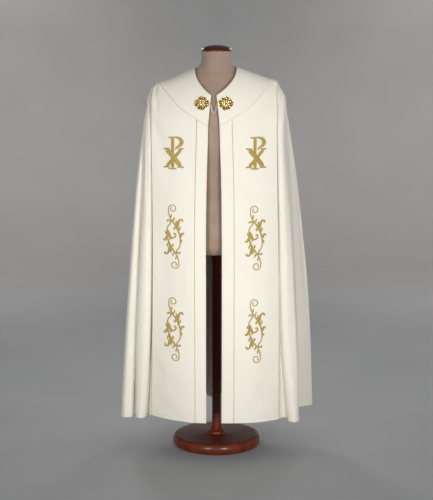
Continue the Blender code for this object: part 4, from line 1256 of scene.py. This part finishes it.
def nodePlace(node):
    # centre, long axis and thin axis of a small solid, from its own points
    points = np.array([tuple(v.co) for v in bpy.data.objects[node].data.vertices])
    unique = np.unique(np.round(points, 6), axis=0)
    centre = unique.mean(axis=0)
    _, _, axes = np.linalg.svd(unique - centre)
    along, thin = Vector(axes[0]).normalized(), Vector(axes[2]).normalized()
    turn = Matrix((along, thin.cross(along), thin)).transposed().to_4x4()
    return Matrix.Translation(centre) @ turn


def makeClasp():
    medal = medalModel()
    stone = beadModel("stone_model", clasp["stone"], finishes["stone"], 20, 0.8)
    eye = linkModel(0.0, clasp["eyeRadius"], clasp["linkWire"], finishes["gilt"])
    for side, word in ((-1, "left"), (1, "right")):
        place = surfaceFrame(cope["openingX"] + side * clasp["offset"], clasp["z"], side, clasp["lift"])
        place = place @ Matrix.Rotation(math.radians(clasp["turn"][side]), 4, "Z")
        placedCopy(medal, "clasp_knotwork_" + word, place, "clasp_medal_" + word)
        middle = place @ Matrix.Translation((0, 0, clasp["thick"] * clasp["stoneLift"]))
        placedCopy(stone, "clasp_dark_centre_" + word, middle, "clasp_stone_" + word)
        placedCopy(eye, "clasp_ring_" + word, nodePlace("clasp_eye_" + word), "clasp_eye_" + word)
    bend = (clasp["linkWidth"] - clasp["linkWire"]) / 2
    link = linkModel((clasp["linkLength"] - clasp["linkWidth"]) / 2, bend, clasp["linkWire"], finishes["silver"])
    for i in range(clasp["links"]):
        node = f"chain_link_{i + 1:02d}"
        placedCopy(link, node.replace("link", "wire"), nodePlace(node), node)
    for model in (medal, stone, eye, link):
        bpy.data.objects.remove(model)


makeClasp()
print("clasp made")

# ---- the form: linen torso, turned cap, pole and base

torso = {
    # height, half-width, front, back, squareness
    "sections": [
        (0.815, 0.140, 0.090, 0.100, 2.1), (0.835, 0.168, 0.112, 0.124, 2.2), (0.900, 0.174, 0.116, 0.130, 2.2),
        (0.980, 0.164, 0.112, 0.118, 2.2), (1.090, 0.140, 0.104, 0.096, 2.2), (1.190, 0.153, 0.110, 0.100, 2.2),
        (1.290, 0.168, 0.118, 0.110, 2.2), (1.370, 0.172, 0.117, 0.120, 2.1), (1.430, 0.196, 0.108, 0.122, 1.9),
        (1.470, 0.222, 0.098, 0.112, 1.7), (1.4870, 0.231, 0.090, 0.102, 1.6), (1.5030, None, 0.083, 0.094, 1.4),
        (1.5200, None, 0.078, 0.086, 1.4), (1.5380, None, 0.072, 0.078, 1.4), (1.5550, None, 0.0655, 0.070, 1.35),
        (1.5680, 0.0760, 0.0655, 0.067, 1.8), (1.5830, 0.0660, 0.0640, 0.065, 2.0),
        (1.6040, 0.0615, 0.0615, 0.0615, 2.0), (1.6335, 0.0615, 0.0615, 0.0615, 2.0)],
    "around": 128, "step": 0.009, "neckHalf": 0.0616, "shoulderClear": 0.0045, "shrink": 0.0012, "under": 0.0004,
    "shoulderFoot": (1.40, 0.05), "shoulderTop": (1.60, 0.02), "seams": (-90, -62, -118, 0, 180, 90, 62, 118),
    "seamDepth": 0.0009,
}


def ridgeReach(z):
    (nearX, nearZ), (farX, farZ) = cope["neckSide"], cope["shoulder"]
    return nearX + (nearZ - z) / ((nearZ - farZ) / (farX - nearX))


def makeTorso():
    rings = []
    for z, half, front, back, power in torso["sections"]:
        half = ridgeReach(z + torso["shoulderClear"]) if half is None else half
        ring = []
        for k in range(torso["around"]):
            angle = 2 * math.pi * k / torso["around"]
            cos, sin = math.cos(angle), math.sin(angle)
            x = half * math.copysign(abs(cos) ** (2 / power), cos)
            y = (back if sin > 0 else front) * math.copysign(abs(sin) ** (2 / power), sin)
            ring.append((x, y, z))
        ring = np.array(ring)
        rings.append(settled(ring) if half > torso["neckHalf"] else ring)
    heights = [section[0] for section in torso["sections"]]
    counts = [max(1, round((b - a) / torso["step"])) for a, b in zip(heights, heights[1:])]
    fine = smoothRun(np.array(rings), evenCuts(counts))
    rows, around = fine.shape[:2]
    # drawn in a little under the cope's shoulders, and sunk along its seams
    (foot, footOver), (top, topOver) = torso["shoulderFoot"], torso["shoulderTop"]
    shoulders = np.clip((fine[..., 2] - foot) / footOver, 0, 1) * np.clip((top - fine[..., 2]) / topOver, 0, 1)
    outward = unit(fine * (1, 1, 0))
    fine = fine - outward * (torso["shrink"] * shoulders + torso["under"])[..., None]
    for degrees in torso["seams"]:
        k = round(degrees / 360 * around) % around
        fine[:, k] -= outward[:, k] * torso["seamDepth"]
    closed = np.concatenate([fine, fine[:, :1]], axis=1)
    u = runDown(closed.transpose(1, 0, 2)).T
    uvs = np.stack(np.broadcast_arrays(u, runDown(fine[:, 0])[:, None]), axis=-1).reshape(-1, 2)
    last = (rows - 1) * (around + 1)
    faces = netFaces(rows, around + 1) + [tuple(range(around - 1, -1, -1)), tuple(range(last, last + around))]
    piece = newPiece("form_linen_body", closed.reshape(-1, 3), faces, uvs, finishes["linen"],
                     "form_torso")
    makeActive(piece)
    editAll()
    bpy.ops.mesh.remove_doubles(threshold=0.000001)
    leaveEdit(50)


def turnedPiece(name, profile, steps, material, node):
    # a profile drawn out point by point and spun round the axis
    deselectAll()
    bpy.ops.mesh.primitive_plane_add(size=0.01)
    piece = bpy.context.object
    piece.name = piece.data.name = name
    editAll()
    bpy.ops.mesh.merge(type="CENTER")
    bpy.ops.transform.translate(value=(profile[0][0], 0, profile[0][1]))
    for (r0, z0), (r1, z1) in zip(profile, profile[1:]):
        bpy.ops.mesh.extrude_region_move(TRANSFORM_OT_translate={"value": (r1 - r0, 0, z1 - z0)})
    selectAll()
    bpy.ops.mesh.spin(steps=steps, angle=2 * math.pi, center=(0, 0, 0), axis=(0, 0, 1))
    selectAll()
    bpy.ops.mesh.remove_doubles(threshold=0.00001)
    bpy.ops.mesh.normals_make_consistent(inside=False)
    leaveEdit(40)
    piece.data.materials.append(material)
    fitOut(piece, node)


def arc(cx, cz, rx, rz, start, end, count):
    return [(cx + rx * math.cos(a), cz + rz * math.sin(a)) for a in np.radians(np.linspace(start, end, count))]


stand = {"neckTop": 1.6338, "capRadius": 0.0632, "capHeight": 0.0252, "capBevel": 0.0010, "capBand": 0.0046,
         "capGroove": 0.0066, "baseRadius": 0.182, "baseHeight": 0.046, "baseRound": 0.62, "boss": (0.036, 0.026),
         "bossFoot": 0.0086, "ring": 0.0036, "poleRadius": 0.019, "poleBevel": 0.0006, "poleFoot": 0.0723,
         "poleTop": 0.8147}


def makeStand():
    # cap: a low band, a groove over it and a dome
    radius, height, foot, bevel = stand["capRadius"], stand["capHeight"], stand["neckTop"], stand["capBevel"]
    cap = [(0, foot), (radius - bevel, foot)] + arc(radius - bevel, foot + bevel, bevel, bevel, -90, 0, 4)[1:]
    cap += arc(radius - 0.0020, foot + stand["capBand"], 0.0020, 0.0016, 0, 90, 5)
    cap += [(radius * 0.955, foot + 0.0062)]
    cap += arc(0, foot + stand["capGroove"], radius * 0.95, height - stand["capGroove"], 4, 90, 18)
    turnedPiece("form_neck_cap_turned", cap, 128, finishes["capWood"], "form_neck_cap")
    # base: a thick disc with a round edge, and a boss with a ring that holds the pole
    radius, height, pole, ring = stand["baseRadius"], stand["baseHeight"], stand["poleRadius"], stand["ring"]
    half = height / 2
    inset = half * stand["baseRound"]
    bossR, bossH = stand["boss"]
    foot = height + stand["bossFoot"]
    base = [(0, 0), (radius - inset - 0.006, 0)]
    base += arc(radius - inset, half, inset, half, -84, 84, 26)
    base += [(radius - inset - 0.012, height - 0.0002), (bossR + 0.010, height + 0.0004)]
    base += arc(bossR + 0.008, foot, 0.008, 0.008, -90, -180, 7)[1:]
    base += arc(bossR * 0.80, foot, bossR * 0.20, 0.006, 0, 90, 6)[1:]
    base += [(pole + 0.0042, height + bossH - 0.006)]
    base += arc(pole + 0.0010, height + bossH - ring, ring, ring, 0, 90, 6)
    base += [(0, height + bossH)]
    turnedPiece("form_base_turned", base, 160, finishes["turnedWood"], "form_base")
    low, top, bevel = stand["poleFoot"], stand["poleTop"], stand["poleBevel"]
    rod = [(0, low), (pole - bevel, low), (pole, low + bevel), (pole, top - bevel), (pole - bevel, top), (0, top)]
    turnedPiece("form_pole_turned", rod, 64, finishes["poleWood"], "form_pole")


makeTorso()
makeStand()
print("form made")
